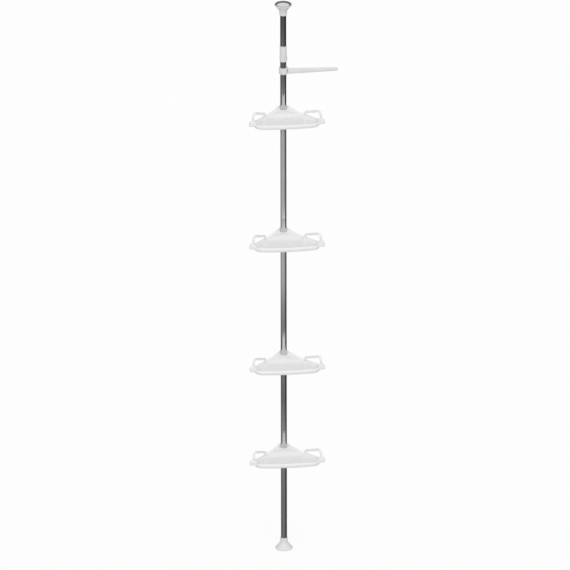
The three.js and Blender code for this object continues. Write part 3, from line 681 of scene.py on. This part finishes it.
def edge_walk():
    """Places and inward directions round the tray. Each corner is an arc from the end of one edge to
    the start of the next, with its centre one radius in from both, and edges are filled evenly."""
    half, arc_half = TRAY_HALF_WIDTH, TRAY_HALF_WIDTH - FRONT_ROUND
    slant = math.atan(TRAY_BOW / (half - arc_half / 2))
    tip = TRAY_CORNER_REACH + half * math.tan(slant)
    side_y = TRAY_APEX - half
    corners = np.array([
        (0, TRAY_APEX), (-half, side_y), (-half, -TRAY_CORNER_REACH),
        (0, -tip), (half, -TRAY_CORNER_REACH), (half, side_y),
    ])
    bow_radius = arc_half / math.sin(slant)
    radii = [TRAY_HUB_RADIUS, SIDE_ROUND, FRONT_ROUND, bow_radius, FRONT_ROUND, SIDE_ROUND]
    befores, afters = np.roll(corners, 1, 0), np.roll(corners, -1, 0)
    arcs = []
    for corner, before, after, radius in zip(corners, befores, afters, radii):
        arriving = (corner - before) / np.linalg.norm(corner - before)
        leaving = (after - corner) / np.linalg.norm(after - corner)
        turn = math.atan2(arriving[0] * leaving[1] - arriving[1] * leaving[0], arriving @ leaving)
        inward = np.array([-arriving[1], arriving[0]])
        centre = corner - arriving * radius * math.tan(turn / 2) + inward * radius
        angle = np.linspace(0, turn, max(8, round(radius * turn / WALK_STEP)) + 1)[:, None]
        sideways = np.array([-inward[1], inward[0]])
        normal = np.cos(angle) * inward + np.sin(angle) * sideways
        arcs.append((centre - radius * normal, normal))
    places, normals = [], []
    for (place, normal), (next_place, _) in zip(arcs, arcs[1:] + arcs[:1]):
        span = next_place[0] - place[-1]
        t = np.linspace(0, 1, round(float(np.linalg.norm(span)) / WALK_STEP) + 2)[1:-1, None]
        places += [place, place[-1] + t * span]
        normals += [normal, np.repeat(normal[-1:], len(t), axis=0)]
    return np.concatenate(places), np.concatenate(normals)


walk_place, walk_normal = edge_walk()
print("walk round the tray:", len(walk_place), "places")

# %% [markdown]
# The floor is level round the pole, then falls over one soft fold into a shallow well, which rises
# again towards the lip. Its height depends only on how far forward a place lies. Inside the foot of the
# walls each loop is the foot's loop drawn towards one point, and each point takes the floor's height.

# %% Section of the tray
SIDE_RIM = 4.0
FRONT_RIM = 10.0
PEAK = 19.0
PEAK_RUN = 96.0
WALL = 2.6
BASE = 2.8
PLATEAU = 4.0
WELL_DEPTH = 5.0
FOLD_START = -34.0
FOLD_RUN = 44.0
WELL_LOWEST = -92.0
WELL_RISE = 2.4
DRAWN_TO = np.array([0.0, -86.0])
LIP_DEPTH = 7.0
SKIRT = 9.0


def cubic_weights(f):
    """The four blending functions of a uniform cubic B-spline at a fraction f between two rows."""
    return [(1 - f) ** 3, 3 * f ** 3 - 6 * f ** 2 + 4, -3 * f ** 3 + 3 * f ** 2 + 3 * f + 1, f ** 3]


def spline_rows(control, samples):
    """B-spline along the first axis, its end rows repeated so that it reaches them. Each sample is a
    weighted mean of four rows."""
    padded = np.concatenate([control[:1], control[:1], control, control[-1:], control[-1:]])
    u = np.linspace(0, len(padded) - 3, samples, endpoint=False)
    first = np.floor(u).astype(int)
    f = (u - first).reshape((-1,) + (1,) * (control.ndim - 1))
    return sum(weight * padded[first + k] for k, weight in enumerate(cubic_weights(f))) / 6


def base_height(y):
    """Height of the floor. It falls from plateau to well by three times the square less twice the cube
    of the way across the fold, and rises again with the square of the way past the lowest place."""
    way = np.clip((FOLD_START - y) / FOLD_RUN, 0, 1)
    fall = 3 * way ** 2 - 2 * way ** 3
    past = np.clip((WELL_LOWEST - y) / (TRAY_FRONT_REACH + WELL_LOWEST), 0, 1)
    return PLATEAU - (PLATEAU + WELL_DEPTH) * fall + WELL_RISE * past ** 2


def tray_section():
    """Control rows of inset and height for every place of the walk. front is 0 along the side walls
    and 1 along the lip, and mixes a wall's numbers with the lip's. The rim climbs to the peak with the
    square of what is left of the run."""
    front = np.clip((walk_normal[:, 1] + math.sqrt(0.5)) / (1 + math.sqrt(0.5)), 0, 1)
    run = np.hypot(*walk_place.T) - TRAY_HUB_RADIUS
    climb = np.clip(1 - run / PEAK_RUN, 0, 1) ** 2
    rim = SIDE_RIM + (FRONT_RIM - SIDE_RIM) * front + (PEAK - SIDE_RIM) * climb

    def mix(wall, lip):
        return wall + (lip - wall) * front

    crest, foot, tuck = mix(WALL, LIP_DEPTH), mix(15, 30), mix(0.8, 3.2)
    base = base_height(walk_place[:, 1] + walk_normal[:, 1] * foot)
    rise = rim - base
    rows = [
        (foot, base), (crest + (foot - crest) * 0.72, base + mix(0.02, 0.05) * rise),
        (crest + (foot - crest) * 0.4, base + mix(0.10, 0.19) * rise),
        (crest + (foot - crest) * 0.12, base + mix(0.5, 0.6) * rise),
        (crest * mix(1, 0.96), rim - mix(1.4, 1.2)), (crest * mix(0.78, 0.74), rim + mix(0.35, 0.2)),
        (crest * 0.43, rim + mix(0.35, -0.3)), (crest * mix(0.12, 0.17), rim - mix(0.2, 2.6)),
        (crest * mix(0, 0.03), rim - mix(1.8, 5.6)), (0 * crest, mix(0.6 * rim - 3, 1.0)),
        (tuck * mix(0.3, 0.16), mix(-3, -2.2)), (tuck * 0.6, mix(-6, -5.8)),
        (tuck, -SKIRT + 0.7 + 0 * crest), (tuck + WALL / 2, -SKIRT - 0.2 + 0 * crest),
        (tuck + WALL, -SKIRT + 0.7 + 0 * crest), (tuck + 1.4 * WALL, base - BASE - 1.2),
        (tuck + 2.4 * WALL, base - BASE),
    ]
    return np.array([np.broadcast_arrays(*row) for row in rows]).transpose(0, 2, 1)


def tray_shell(drawn_steps=16):
    """Closed shell: loops from the middle of the floor out to the wall's foot, over the rim, down the
    skirt and back below to the middle. Loops inside the foot are drawn towards DRAWN_TO."""
    section = spline_rows(tray_section(), 50)
    flat = walk_place + walk_normal * section[..., :1]
    around = np.concatenate([flat, section[..., 1:]], axis=-1)
    share = np.linspace(0.04, 1, drawn_steps, endpoint=False)[:, None, None]

    def drawn(loop, below):
        plan = DRAWN_TO + share * (loop[:, :2] - DRAWN_TO)
        return np.concatenate([plan, base_height(plan[..., 1:]) - below], axis=-1)

    return skin(np.concatenate([drawn(around[0], 0.0), around, drawn(around[-1], BASE)[::-1]]))


# %% [markdown]
# The corner ears are lugs that droop outwards and carry the rails' posts. Each is an outline that a
# closed B-spline smooths, stacked across its width and drawn in near both faces, like a pebble. The
# hub under the floor, three ribs and two bosses are added, and one boolean with the drain slots, the
# hub's bore and the rails' sockets then welds them all and opens the holes.

# %% Ears, hub, ribs, slots and sockets
EAR_ROOT = 128.0
EAR_TIP = 157.0
EAR_BOTTOM = -1.5
EAR_TOP = 22.5
EAR_WIDTH = 13.0
EAR_ROUND = 4.4
EAR_FORWARD = TRAY_CORNER_REACH - 22.0
EAR_REACH_SHARES = [0, 0.4, 0.8, 0.96, 1.02, 1.01, 0.93, 0.76, 0.54, 0.3, 0.1, -0.02, 0]
EAR_RISE_SHARES = [0, -0.01, -0.01, 0.06, 0.26, 0.52, 0.78, 0.95, 1.03, 1.03, 0.9, 0.6, 0.3]
RAIL_RADIUS = 5.0
RAIL_PEG_RADIUS = 3.0
RAIL_TOP = 57.0
RAIL_POST_SIDE = TRAY_HALF_WIDTH + 4.0
RAIL_REAR_TOP = 16.6
RAIL_FRONT_BEND = 26.0
RAIL_REAR_BEND = 11.0
REAR_SOCKET_TOP = 5.0
REAR_FOOT_BACK = 68.3
REAR_FOOT_INSET = 7.4
SOCKET_RADIUS = 3.3
SOCKET_WALL = 2.4
WALL_LENGTH = TRAY_HALF_WIDTH * math.sqrt(2)
HUB_DEPTH = 32.0
HUB_CONE_RADII = 15.35, 14.5
HUB_NECK_RADIUS = 13.0
SLOT_COUNT = 6
SLOT_SPACING = 34.0
SLOT_TO_FRONT, SLOT_LENGTH, SLOT_WIDTH = 25.0, 16.0, 4.0
RIB_ANGLES = np.radians([-18.0, 0.0, 18.0])


def closed_spline(control, steps):
    """The same B-spline round a closed loop, whose rows are rolled on to meet the first again."""
    weights = cubic_weights((np.arange(steps) / steps)[None, :, None])
    looped = sum(weight * np.roll(control, -k, axis=0)[:, None] for k, weight in enumerate(weights)) / 6
    return looped.reshape(-1, control.shape[1])


def ear(side):
    """Smoothed outline in x and z, stacked in y. Near each face it shrinks towards its middle by a
    quarter circle's gap, which is the radius times one minus the cosine of the angle round its edge."""
    reach = EAR_ROOT + (EAR_TIP - EAR_ROOT) * np.array(EAR_REACH_SHARES)
    rise = EAR_BOTTOM + (EAR_TOP - EAR_BOTTOM) * np.array(EAR_RISE_SHARES)
    outline = closed_spline(np.stack([reach, rise], axis=1), 6)
    middle, half = (outline.max(axis=0) + outline.min(axis=0)) / 2, np.ptp(outline, axis=0) / 2
    quarter = np.linspace(0, math.pi / 2, 5)
    angle = np.concatenate([quarter - math.pi / 2, quarter])
    y = EAR_ROUND * np.sin(angle) + (EAR_WIDTH / 2 - EAR_ROUND) * np.repeat([-1, 1], len(quarter))
    drawn_in = EAR_ROUND * (1 - np.cos(angle))
    plan = middle + (outline[None] - middle) * (1 - drawn_in[:, None, None] / half)
    depth = np.repeat(y[:, None], len(outline), axis=1) - EAR_FORWARD
    return skin(np.stack([side * plan[..., 0], depth, plan[..., 1]], axis=-1))


def raised(plan, bottom, top):
    """A plan raised into a prism: two equal loops of points, one above the other."""
    loops = [np.concatenate([plan, np.full((len(plan), 1), z)], axis=1) for z in (bottom, top)]
    return skin(np.array(loops))


def upright(radius, bottom, top, x, y):
    """Round bar with flat ends."""
    angle = round_angles(24)
    plan = np.stack([x + radius * np.cos(angle), y + radius * np.sin(angle)], axis=1)
    return raised(plan, bottom, top)


def spun(shell, angle):
    """The shell turned about z by an angle."""
    c, s = math.cos(angle), math.sin(angle)
    return Shell(shell.points @ np.array([[c, s, 0], [-s, c, 0], [0, 0, 1]]), shell.faces)


def drain_slot(across):
    """Bar with round ends: a circle whose front and back halves are moved apart."""
    turn = round_angles(24) + math.pi / 24
    half = (SLOT_LENGTH - SLOT_WIDTH) / 2
    x = SLOT_WIDTH / 2 * np.cos(turn) + across
    y = SLOT_WIDTH / 2 * np.sin(turn) + half * np.sign(np.sin(turn)) + SLOT_TO_FRONT + SLOT_LENGTH / 2
    return raised(np.stack([x, y - TRAY_FRONT_REACH], axis=1), -14.0, 4.0)


def under_rib(angle):
    """Thin plate from the hub to the lip, whose top edge runs inside the floor and falls with it."""
    y = np.linspace(-16.2, -TRAY_FRONT_REACH + 14, 40)
    plan = np.concatenate([y, y[::-1]])
    z = np.concatenate([base_height(y) - BASE / 2, np.full(40, -SKIRT + 1)])
    loops = [np.stack([np.full(80, x), plan, z], axis=1) for x in (-0.9, 0.9)]
    return spun(skin(np.array(loops)), angle)


def rail_feet(side):
    """Post and rear foot, seen from above: the foot lies along the wall, a little in from it."""
    along, inward = np.array([side, -1]) / math.sqrt(2), np.array([-side, -1]) / math.sqrt(2)
    rear = np.array([0, TRAY_APEX]) + along * (WALL_LENGTH - REAR_FOOT_BACK) + inward * REAR_FOOT_INSET
    return np.array([side * RAIL_POST_SIDE, -EAR_FORWARD]), rear


def weld_and_cut(thing, cutters):
    """Boolean difference with self-overlaps allowed, applied at once, so overlapping closed shells in
    the first mesh become one skin and every cutter leaves its hole."""
    cutter = as_object("cutter", cutters)
    modifier = thing.modifiers.new("cut", "BOOLEAN")
    modifier.operation = "DIFFERENCE"
    modifier.solver = "EXACT"
    modifier.use_self = True
    modifier.object = cutter
    bpy.context.view_layer.update()
    seen = thing.evaluated_get(bpy.context.evaluated_depsgraph_get())
    mesh = bpy.data.meshes.new_from_object(seen)
    thing.modifiers.clear()
    thing.data = mesh
    bpy.data.objects.remove(cutter)
    return mesh


def tray_mesh():
    """All of a tray's solids, welded, with its slots, bore and sockets, at height zero."""
    hub_top, below, above = PLATEAU - BASE / 2, -HUB_DEPTH - 2, PEAK + 3
    hub = rounded([
        (AXIS_DOT, -HUB_DEPTH, 0), (TRAY_HUB_RADIUS, -HUB_DEPTH, 0.8),
        (TRAY_HUB_RADIUS, hub_top, 0), (AXIS_DOT, hub_top, 0),
    ])
    solids = tray_shell() + turned(hub)
    wide, narrow = HUB_CONE_RADII
    holes = turned([
        (AXIS_DOT, below), (wide, below), (narrow, 0), (narrow, PLATEAU + 1.3),
        (HUB_NECK_RADIUS, PLATEAU + 2.6), (HUB_NECK_RADIUS, above), (AXIS_DOT, above),
    ])
    for angle in RIB_ANGLES:
        solids = solids + under_rib(angle)
    for side in (-1, 1):
        (post_x, post_y), (rear_x, rear_y) = rail_feet(side)
        boss = upright(SOCKET_RADIUS + SOCKET_WALL, -8, 5, rear_x, rear_y)
        solids = solids + ear(side) + boss
        holes = holes + upright(SOCKET_RADIUS, 6, EAR_TOP + 3, post_x, post_y)
        holes = holes + upright(SOCKET_RADIUS, -6, 7, rear_x, rear_y)
    for n in range(SLOT_COUNT):
        holes = holes + drain_slot((n - (SLOT_COUNT - 1) / 2) * SLOT_SPACING)
    return weld_and_cut(as_object("tray_pattern", solids), holes)


pattern = tray_mesh()
bpy.data.objects.remove(bpy.data.objects["tray_pattern"])
print("tray faces after the weld:", len(pattern.polygons))

# %% [markdown]
# ## Guard rails and wedges
# A rail is one bent bar: a post, a sloping run and a short rear leg, joined by smooth bends. Each foot
# ends in a shoulder and a thinner peg in its socket. All of it lies in one upright plane, so the circle
# that is swept along it never twists. The wedge halves inside the hub are a closed section carried half
# way round the pole.

# %% Rails and wedges
SHOULDER_GAP = 0.3
FRONT_PEG = 16.4
REAR_PEG = 11.0
WEDGE_BOTTOM = -34.3
WEDGE_FLANGE = 2.0
WEDGE_FLANGE_RADIUS = 16.6
WEDGE_HALF_SPLIT = 0.4


def line(start, end, step=3.0):
    """Evenly spaced points from start up to but not including end."""
    count = max(2, round(float(np.linalg.norm(end - start)) / step))
    return start + (end - start) * np.linspace(0, 1, count, endpoint=False)[:, None]


def bend(corner, arriving, leaving, reach, steps=14):
    """Quadratic blend from reach before the corner to reach after it."""
    t = np.linspace(0, 1, steps, endpoint=False)[:, None]
    return quadratic(corner - arriving * reach, corner, corner + leaving * reach, t)


def shoulder(place, along):
    """Points and radii where a peg widens to the bar: a flat step, then an edge rounded in two."""
    far = np.array([0.0, 0.0, 0.2, 0.7])[:, None]
    full = RAIL_RADIUS
    return place + along * far, np.array([RAIL_PEG_RADIUS, full - 0.7, full - 0.2, full])


def guard_rail(side, level):
    """Bar through the post, the front bend, the sloping run, the rear bend and the rear leg."""
    (post_x, post_y), (rear_x, rear_y) = rail_feet(side)
    top = np.array([post_x, post_y, level + RAIL_TOP])
    rear = np.array([rear_x, rear_y, level + RAIL_REAR_TOP])
    run = (rear - top) / np.linalg.norm(rear - top)
    up = np.array([0.0, 0.0, 1.0])
    across = np.cross(run, up) / np.linalg.norm(np.cross(run, up))
    foot, heel = top.copy(), rear.copy()
    foot[2] = level + EAR_TOP + SHOULDER_GAP
    heel[2] = level + REAR_SOCKET_TOP + SHOULDER_GAP
    front_step, front_radii = shoulder(foot, up)
    rear_step, rear_radii = shoulder(heel, up)
    bar = np.concatenate([
        line(foot + up * 2, top - up * RAIL_FRONT_BEND),
        bend(top, up, run, RAIL_FRONT_BEND),
        line(top + run * RAIL_FRONT_BEND, rear - run * RAIL_REAR_BEND),
        bend(rear, run, -up, RAIL_REAR_BEND),
    ])
    pegs = (foot - up * FRONT_PEG)[None], (heel - up * REAR_PEG)[None]
    path = np.concatenate([pegs[0], front_step, bar, rear_step[::-1], pegs[1]])
    thin, thick = [RAIL_PEG_RADIUS], np.full(len(bar), RAIL_RADIUS)
    radii = np.concatenate([thin, front_radii, thick, rear_radii[::-1], thin])
    return swept(path, across, radii)


def wedge_half(side, level):
    """Closed section of the tapered wedge with its flange, carried half way round less a split."""
    top, flange_top = PLATEAU + 1.0, WEDGE_BOTTOM + WEDGE_FLANGE
    section = rounded([
        (SLIDING_BORE, WEDGE_BOTTOM, 0.3), (WEDGE_FLANGE_RADIUS, WEDGE_BOTTOM, 0.5),
        (WEDGE_FLANGE_RADIUS, flange_top, 0.4), (15.0, flange_top, 0.2), (14.3, 0, 0.2),
        (14.35, top, 0.3), (SLIDING_BORE, top, 0.3),
    ], closed=True) + np.array([0, level])
    split = WEDGE_HALF_SPLIT / SLIDING_BORE
    middle = 0 if side > 0 else math.pi
    return part_turned(section, middle - math.pi / 2 + split, middle + math.pi / 2 - split)


for n in range(1, 5):
    level = node_span(f"tray_{n}")[0][2] + HUB_DEPTH
    moved = pattern.copy()
    points = np.empty(len(moved.vertices) * 3)
    moved.vertices.foreach_get("co", points)
    points[2::3] += level * MM
    moved.vertices.foreach_set("co", points)
    dress(smooth_object(f"shelf_tray_{n}", moved), "white_plastic", f"shelf_{n}", f"tray_{n}")
    for word, side in (("left", -1), ("right", 1)):
        rail = as_object(f"shelf_rail_{n}_{word}", guard_rail(side, level))
        dress(rail, "white_plastic", f"shelf_{n}", f"rail_{n}_{word}")
        wedge = as_object(f"shelf_wedge_{n}_{word}", wedge_half(side, level))
        dress(wedge, "white_plastic", f"wedge_{n}", f"wedge_{n}_{word}")

# %% [markdown]
# ## Spring
# The spring inside the top tube is what wedges the pole. It stands on a seat in the pole and the rod
# of the top section stands on it, so it has to get shorter when the top slides down. Here it is one
# coil, fixed between the ends of the imported spring.

# %% Coil
SPRING_RADIUS = 9.0
SPRING_WIRE = 1.0
SPRING_TURNS = 8


def coil(bottom, top):
    """Circle carried along a helix: the wire's middle lies at radius times the cosine and the sine of
    the turn, and climbs evenly with it. The circle's first direction points away from the axis."""
    turn = np.linspace(0, 2 * math.pi * SPRING_TURNS, SPRING_TURNS * 40 + 1)
    height = np.linspace(bottom + SPRING_WIRE, top - SPRING_WIRE, len(turn))
    outward = np.stack([np.cos(turn), np.sin(turn), 0 * turn], axis=1)
    path = SPRING_RADIUS * outward + np.stack([0 * turn, 0 * turn, height], axis=1)
    return swept(path, outward, np.full(len(turn), SPRING_WIRE), sides=12)


low, high = node_span("tension_spring")
spring = as_object("spring_coil", coil(low[2], high[2]))
spring.data.materials.append(finishes["spring_steel"])
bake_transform(spring)
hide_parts("tension_spring")
print("spring:", len(spring.data.polygons), "faces")

# %% [markdown]
# ## Pieces that stay as packed
# The couplers, the spring's seat and the telescoping rod are inside the tubes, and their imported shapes
# are already right. They only get their finishes.

# %% Finishes for the hidden pieces
HIDDEN = {
    "coupler_lower": "grey_nylon", "coupler_upper": "grey_nylon", "spring_seat": "grey_nylon",
    "inner_rod": "polished_steel",
}
for node, finish in HIDDEN.items():
    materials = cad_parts[node].data.materials
    materials.clear()
    materials.append(finishes[finish])
print("carried over:", sorted(HIDDEN))

# %% [markdown]
# ## Floor
# The floor is a wide pale disc. To the camera and to mirrors it is mostly a plain white glow, and a
# small share of it is ordinary matt paint, which keeps the object's shadow. To light that bounces it
# is a duller matt paint without the glow, so it doesn't brighten the object's underside too much.

# %% Floor
FLOOR_RADIUS = 16.0
FLOOR_DROP = 0.0005
FLOOR_SIDES, FLOOR_RINGS = 96, 24
FLOOR_GLOW = 0.90
FLOOR_BOUNCE = 0.70


def seen_directly(tree):
    """1 for camera, mirror and glass rays and 0 for the rest: the largest of three light path flags."""
    path = add_node(tree, "ShaderNodeLightPath")
    first = add_node(tree, "ShaderNodeMath", operation="MAXIMUM")
    second = add_node(tree, "ShaderNodeMath", operation="MAXIMUM")
    tree.links.new(path.outputs["Is Camera Ray"], first.inputs[0])
    tree.links.new(path.outputs["Is Glossy Ray"], first.inputs[1])
    tree.links.new(first.outputs[0], second.inputs[0])
    tree.links.new(path.outputs["Is Transmission Ray"], second.inputs[1])
    return second.outputs[0]


def floor_disc():
    """Rings of points whose radius grows evenly from 0.05 m to the edge, with a face in the middle."""
    angle = round_angles(FLOOR_SIDES)
    radius = np.linspace(50.0, FLOOR_RADIUS / MM, FLOOR_RINGS)[:, None]
    plan = np.stack([radius * np.cos(angle), radius * np.sin(angle)], axis=-1)
    points = np.concatenate([plan, np.full(plan.shape[:2] + (1,), -FLOOR_DROP / MM)], axis=-1)
    quads = quad_skin(FLOOR_RINGS, FLOOR_SIDES, False)[:, ::-1]
    return Shell(points.reshape(-1, 3), quads.tolist() + [list(range(FLOOR_SIDES))])


def grey(value):
    """Opaque grey of one value."""
    return value, value, value, 1


def floor_paint():
    """Matt paint under a white glow where the floor is seen directly, and a duller matt paint for the
    light that bounces off it."""
    material, tree, shader = new_material("floor_paint", {"Roughness": 0.9})
    vary_colour(tree, shader, object_noise(tree, 2.0), (0.86, 0.86, 0.86), (0.9, 0.9, 0.9))
    glow = add_node(tree, "ShaderNodeEmission", {"Strength": 1.0, "Color": grey(1)})
    dull = add_node(tree, "ShaderNodeBsdfDiffuse", {"Color": grey(FLOOR_BOUNCE)})
    glowing = add_node(tree, "ShaderNodeMixShader", {"Fac": FLOOR_GLOW})
    chosen = add_node(tree, "ShaderNodeMixShader")
    output = next(node for node in tree.nodes if node.type == "OUTPUT_MATERIAL")
    tree.links.new(shader.outputs["BSDF"], glowing.inputs[1])
    tree.links.new(glow.outputs["Emission"], glowing.inputs[2])
    tree.links.new(seen_directly(tree), chosen.inputs[0])
    tree.links.new(dull.outputs["BSDF"], chosen.inputs[1])
    tree.links.new(glowing.outputs["Shader"], chosen.inputs[2])
    tree.links.new(chosen.outputs["Shader"], output.inputs["Surface"])
    return material


floor = as_object("floor", floor_disc())
floor.data.materials.append(floor_paint())

# %% [markdown]
# ## Light
# The studio is bright on all sides, so the world gives most of the light, and one very soft sun
# stands high behind the camera. Tops and front faces come out a little lighter than side faces, as in
# the photograph. A mirror-bright tube shows what stands round it, so a tent of grey card stands round
# the object. Only mirror rays see it. It is lightest beside the camera and dark on its right.

# %% World and sun
WORLD_LIGHT = 0.72
SUN_STRENGTH = 1.05
SUN_HEIGHT = math.radians(42)
SUN_SOFTNESS = math.radians(60)
SUN_DISTANCE = 6.0


def studio_world():
    """Even white light, at full white where the camera or a mirror sees it and dimmer for the rest."""
    world = bpy.data.worlds.new("studio")
    world.use_nodes = True
    tree = world.node_tree
    tree.nodes.clear()
    path = seen_directly(tree)
    strength = add_node(tree, "ShaderNodeMapRange", {"To Min": WORLD_LIGHT, "To Max": 1.0})
    background = add_node(tree, "ShaderNodeBackground", {"Color": grey(1)})
    output = add_node(tree, "ShaderNodeOutputWorld")
    tree.links.new(path, strength.inputs["Value"])
    tree.links.new(strength.outputs["Result"], background.inputs["Strength"])
    tree.links.new(background.outputs["Background"], output.inputs["Surface"])
    bpy.context.scene.world = world


def soft_sun():
    """Sun that shines from above the camera: the view's own turn, dipped by the sun's height."""
    data = bpy.data.lights.new("key", "SUN")
    data.energy = SUN_STRENGTH
    data.angle = SUN_SOFTNESS
    right, forward, up = view_axes(VIEW_TURN, SUN_HEIGHT)
    in_scene("key", data).matrix_world = aimed(right, up, forward, -forward * SUN_DISTANCE)


studio_world()
soft_sun()

# %% Tent of grey card for the polished tube
TENT_RADIUS = 0.5
TENT_TOP = 2.75
TENT_LIFT = 0.002
CARD_BEHIND = 0.95
TENT_TURNS = [
    (0.0, 0.18), (0.12, 0.32), (0.30, 0.45), (0.42, 0.58), (0.52, 0.57), (0.62, 0.43), (0.70, 0.12),
    (0.85, 0.09), (1.0, 0.18),
]
TENT_RISES = [
    (0.0, 0.40), (0.10, 0.50), (0.15, 0.50), (0.19, 0.34), (0.27, 0.48), (0.32, 0.65), (0.37, 1.0),
    (0.60, 1.0), (0.65, 0.44), (0.79, 0.22), (1.0, 0.16),
]


def grey_ramp(tree, source, stops):
    """Grey that passes through a value at each of some places between 0 and 1."""
    ramp = add_node(tree, "ShaderNodeValToRGB")
    elements = ramp.color_ramp.elements
    for k, (place, value) in enumerate(stops):
        element = elements[k] if k < 2 else elements.new(place)
        element.position = place
        element.color = grey(value)
    tree.links.new(source, ramp.inputs["Fac"])
    return ramp.outputs["Color"]


def tent_mesh():
    """Cylinder with a floor. The turn runs from 0 behind the object, by the camera's left, to 0.5 at
    the camera and back round its right to 1, and it and the height are kept as a UV map."""
    columns = 97
    turn = np.linspace(0, 1, columns)
    right, forward = view_axes(VIEW_TURN, 0.0)[:2]
    angle = (turn - 0.5)[:, None] * 2 * math.pi
    plan = TENT_RADIUS * (-forward * np.cos(angle) + right * np.sin(angle))
    points = np.array([plan * 0.02, plan * 0.35, plan, plan + [0, 0, TENT_TOP]])
    points[..., 2] += TENT_LIFT
    i, j = np.meshgrid(np.arange(3), np.arange(columns - 1), indexing="ij")
    below, above = i * columns + j, (i + 1) * columns + j
    quads = np.stack([below, below + 1, above + 1, above], -1).reshape(-1, 4)
    mesh = bpy.data.meshes.new("tent")
    mesh.from_pydata(points.reshape(-1, 3).tolist(), [], quads.tolist())
    uv = mesh.uv_layers.new(name="card")
    both = np.stack([np.tile(turn, 4), np.repeat([0, 0, 0, 1.0], columns)], axis=1)
    uv.data.foreach_set("uv", both[quads.reshape(-1)].reshape(-1))
    return mesh


def grey_card():
    """Glow that is the turn's grey times the height's. Light that has left a matt surface before it
    meets the tube finds a pale studio instead of the card."""
    material = bpy.data.materials.new("grey_card")
    material.use_nodes = True
    tree = material.node_tree
    tree.nodes.clear()
    place = add_node(tree, "ShaderNodeUVMap", uv_map="card")
    split = add_node(tree, "ShaderNodeSeparateXYZ")
    tree.links.new(place.outputs["UV"], split.inputs["Vector"])
    product = add_node(tree, "ShaderNodeMixRGB", {"Fac": 1.0}, blend_type="MULTIPLY")
    tree.links.new(grey_ramp(tree, split.outputs["X"], TENT_TURNS), product.inputs["Color1"])
    tree.links.new(grey_ramp(tree, split.outputs["Y"], TENT_RISES), product.inputs["Color2"])
    path = add_node(tree, "ShaderNodeLightPath")
    bounced = add_node(tree, "ShaderNodeMath", {1: 0.5}, operation="GREATER_THAN")
    seen = add_node(tree, "ShaderNodeMixRGB", {"Color2": grey(CARD_BEHIND)})
    glow = add_node(tree, "ShaderNodeEmission", {"Strength": 1.0})
    output = add_node(tree, "ShaderNodeOutputMaterial")
    tree.links.new(path.outputs["Diffuse Depth"], bounced.inputs[0])
    tree.links.new(bounced.outputs["Value"], seen.inputs["Fac"])
    tree.links.new(product.outputs["Color"], seen.inputs["Color1"])
    tree.links.new(seen.outputs["Color"], glow.inputs["Color"])
    tree.links.new(glow.outputs["Emission"], output.inputs["Surface"])
    return material


tent = in_scene("tent", tent_mesh())
for flag in ("camera", "diffuse", "transmission", "volume_scatter", "shadow"):
    setattr(tent, "visible_" + flag, False)
tent.data.materials.append(grey_card())
print("tent:", len(tent.data.polygons), "faces,", TENT_RADIUS, "m round the pole")
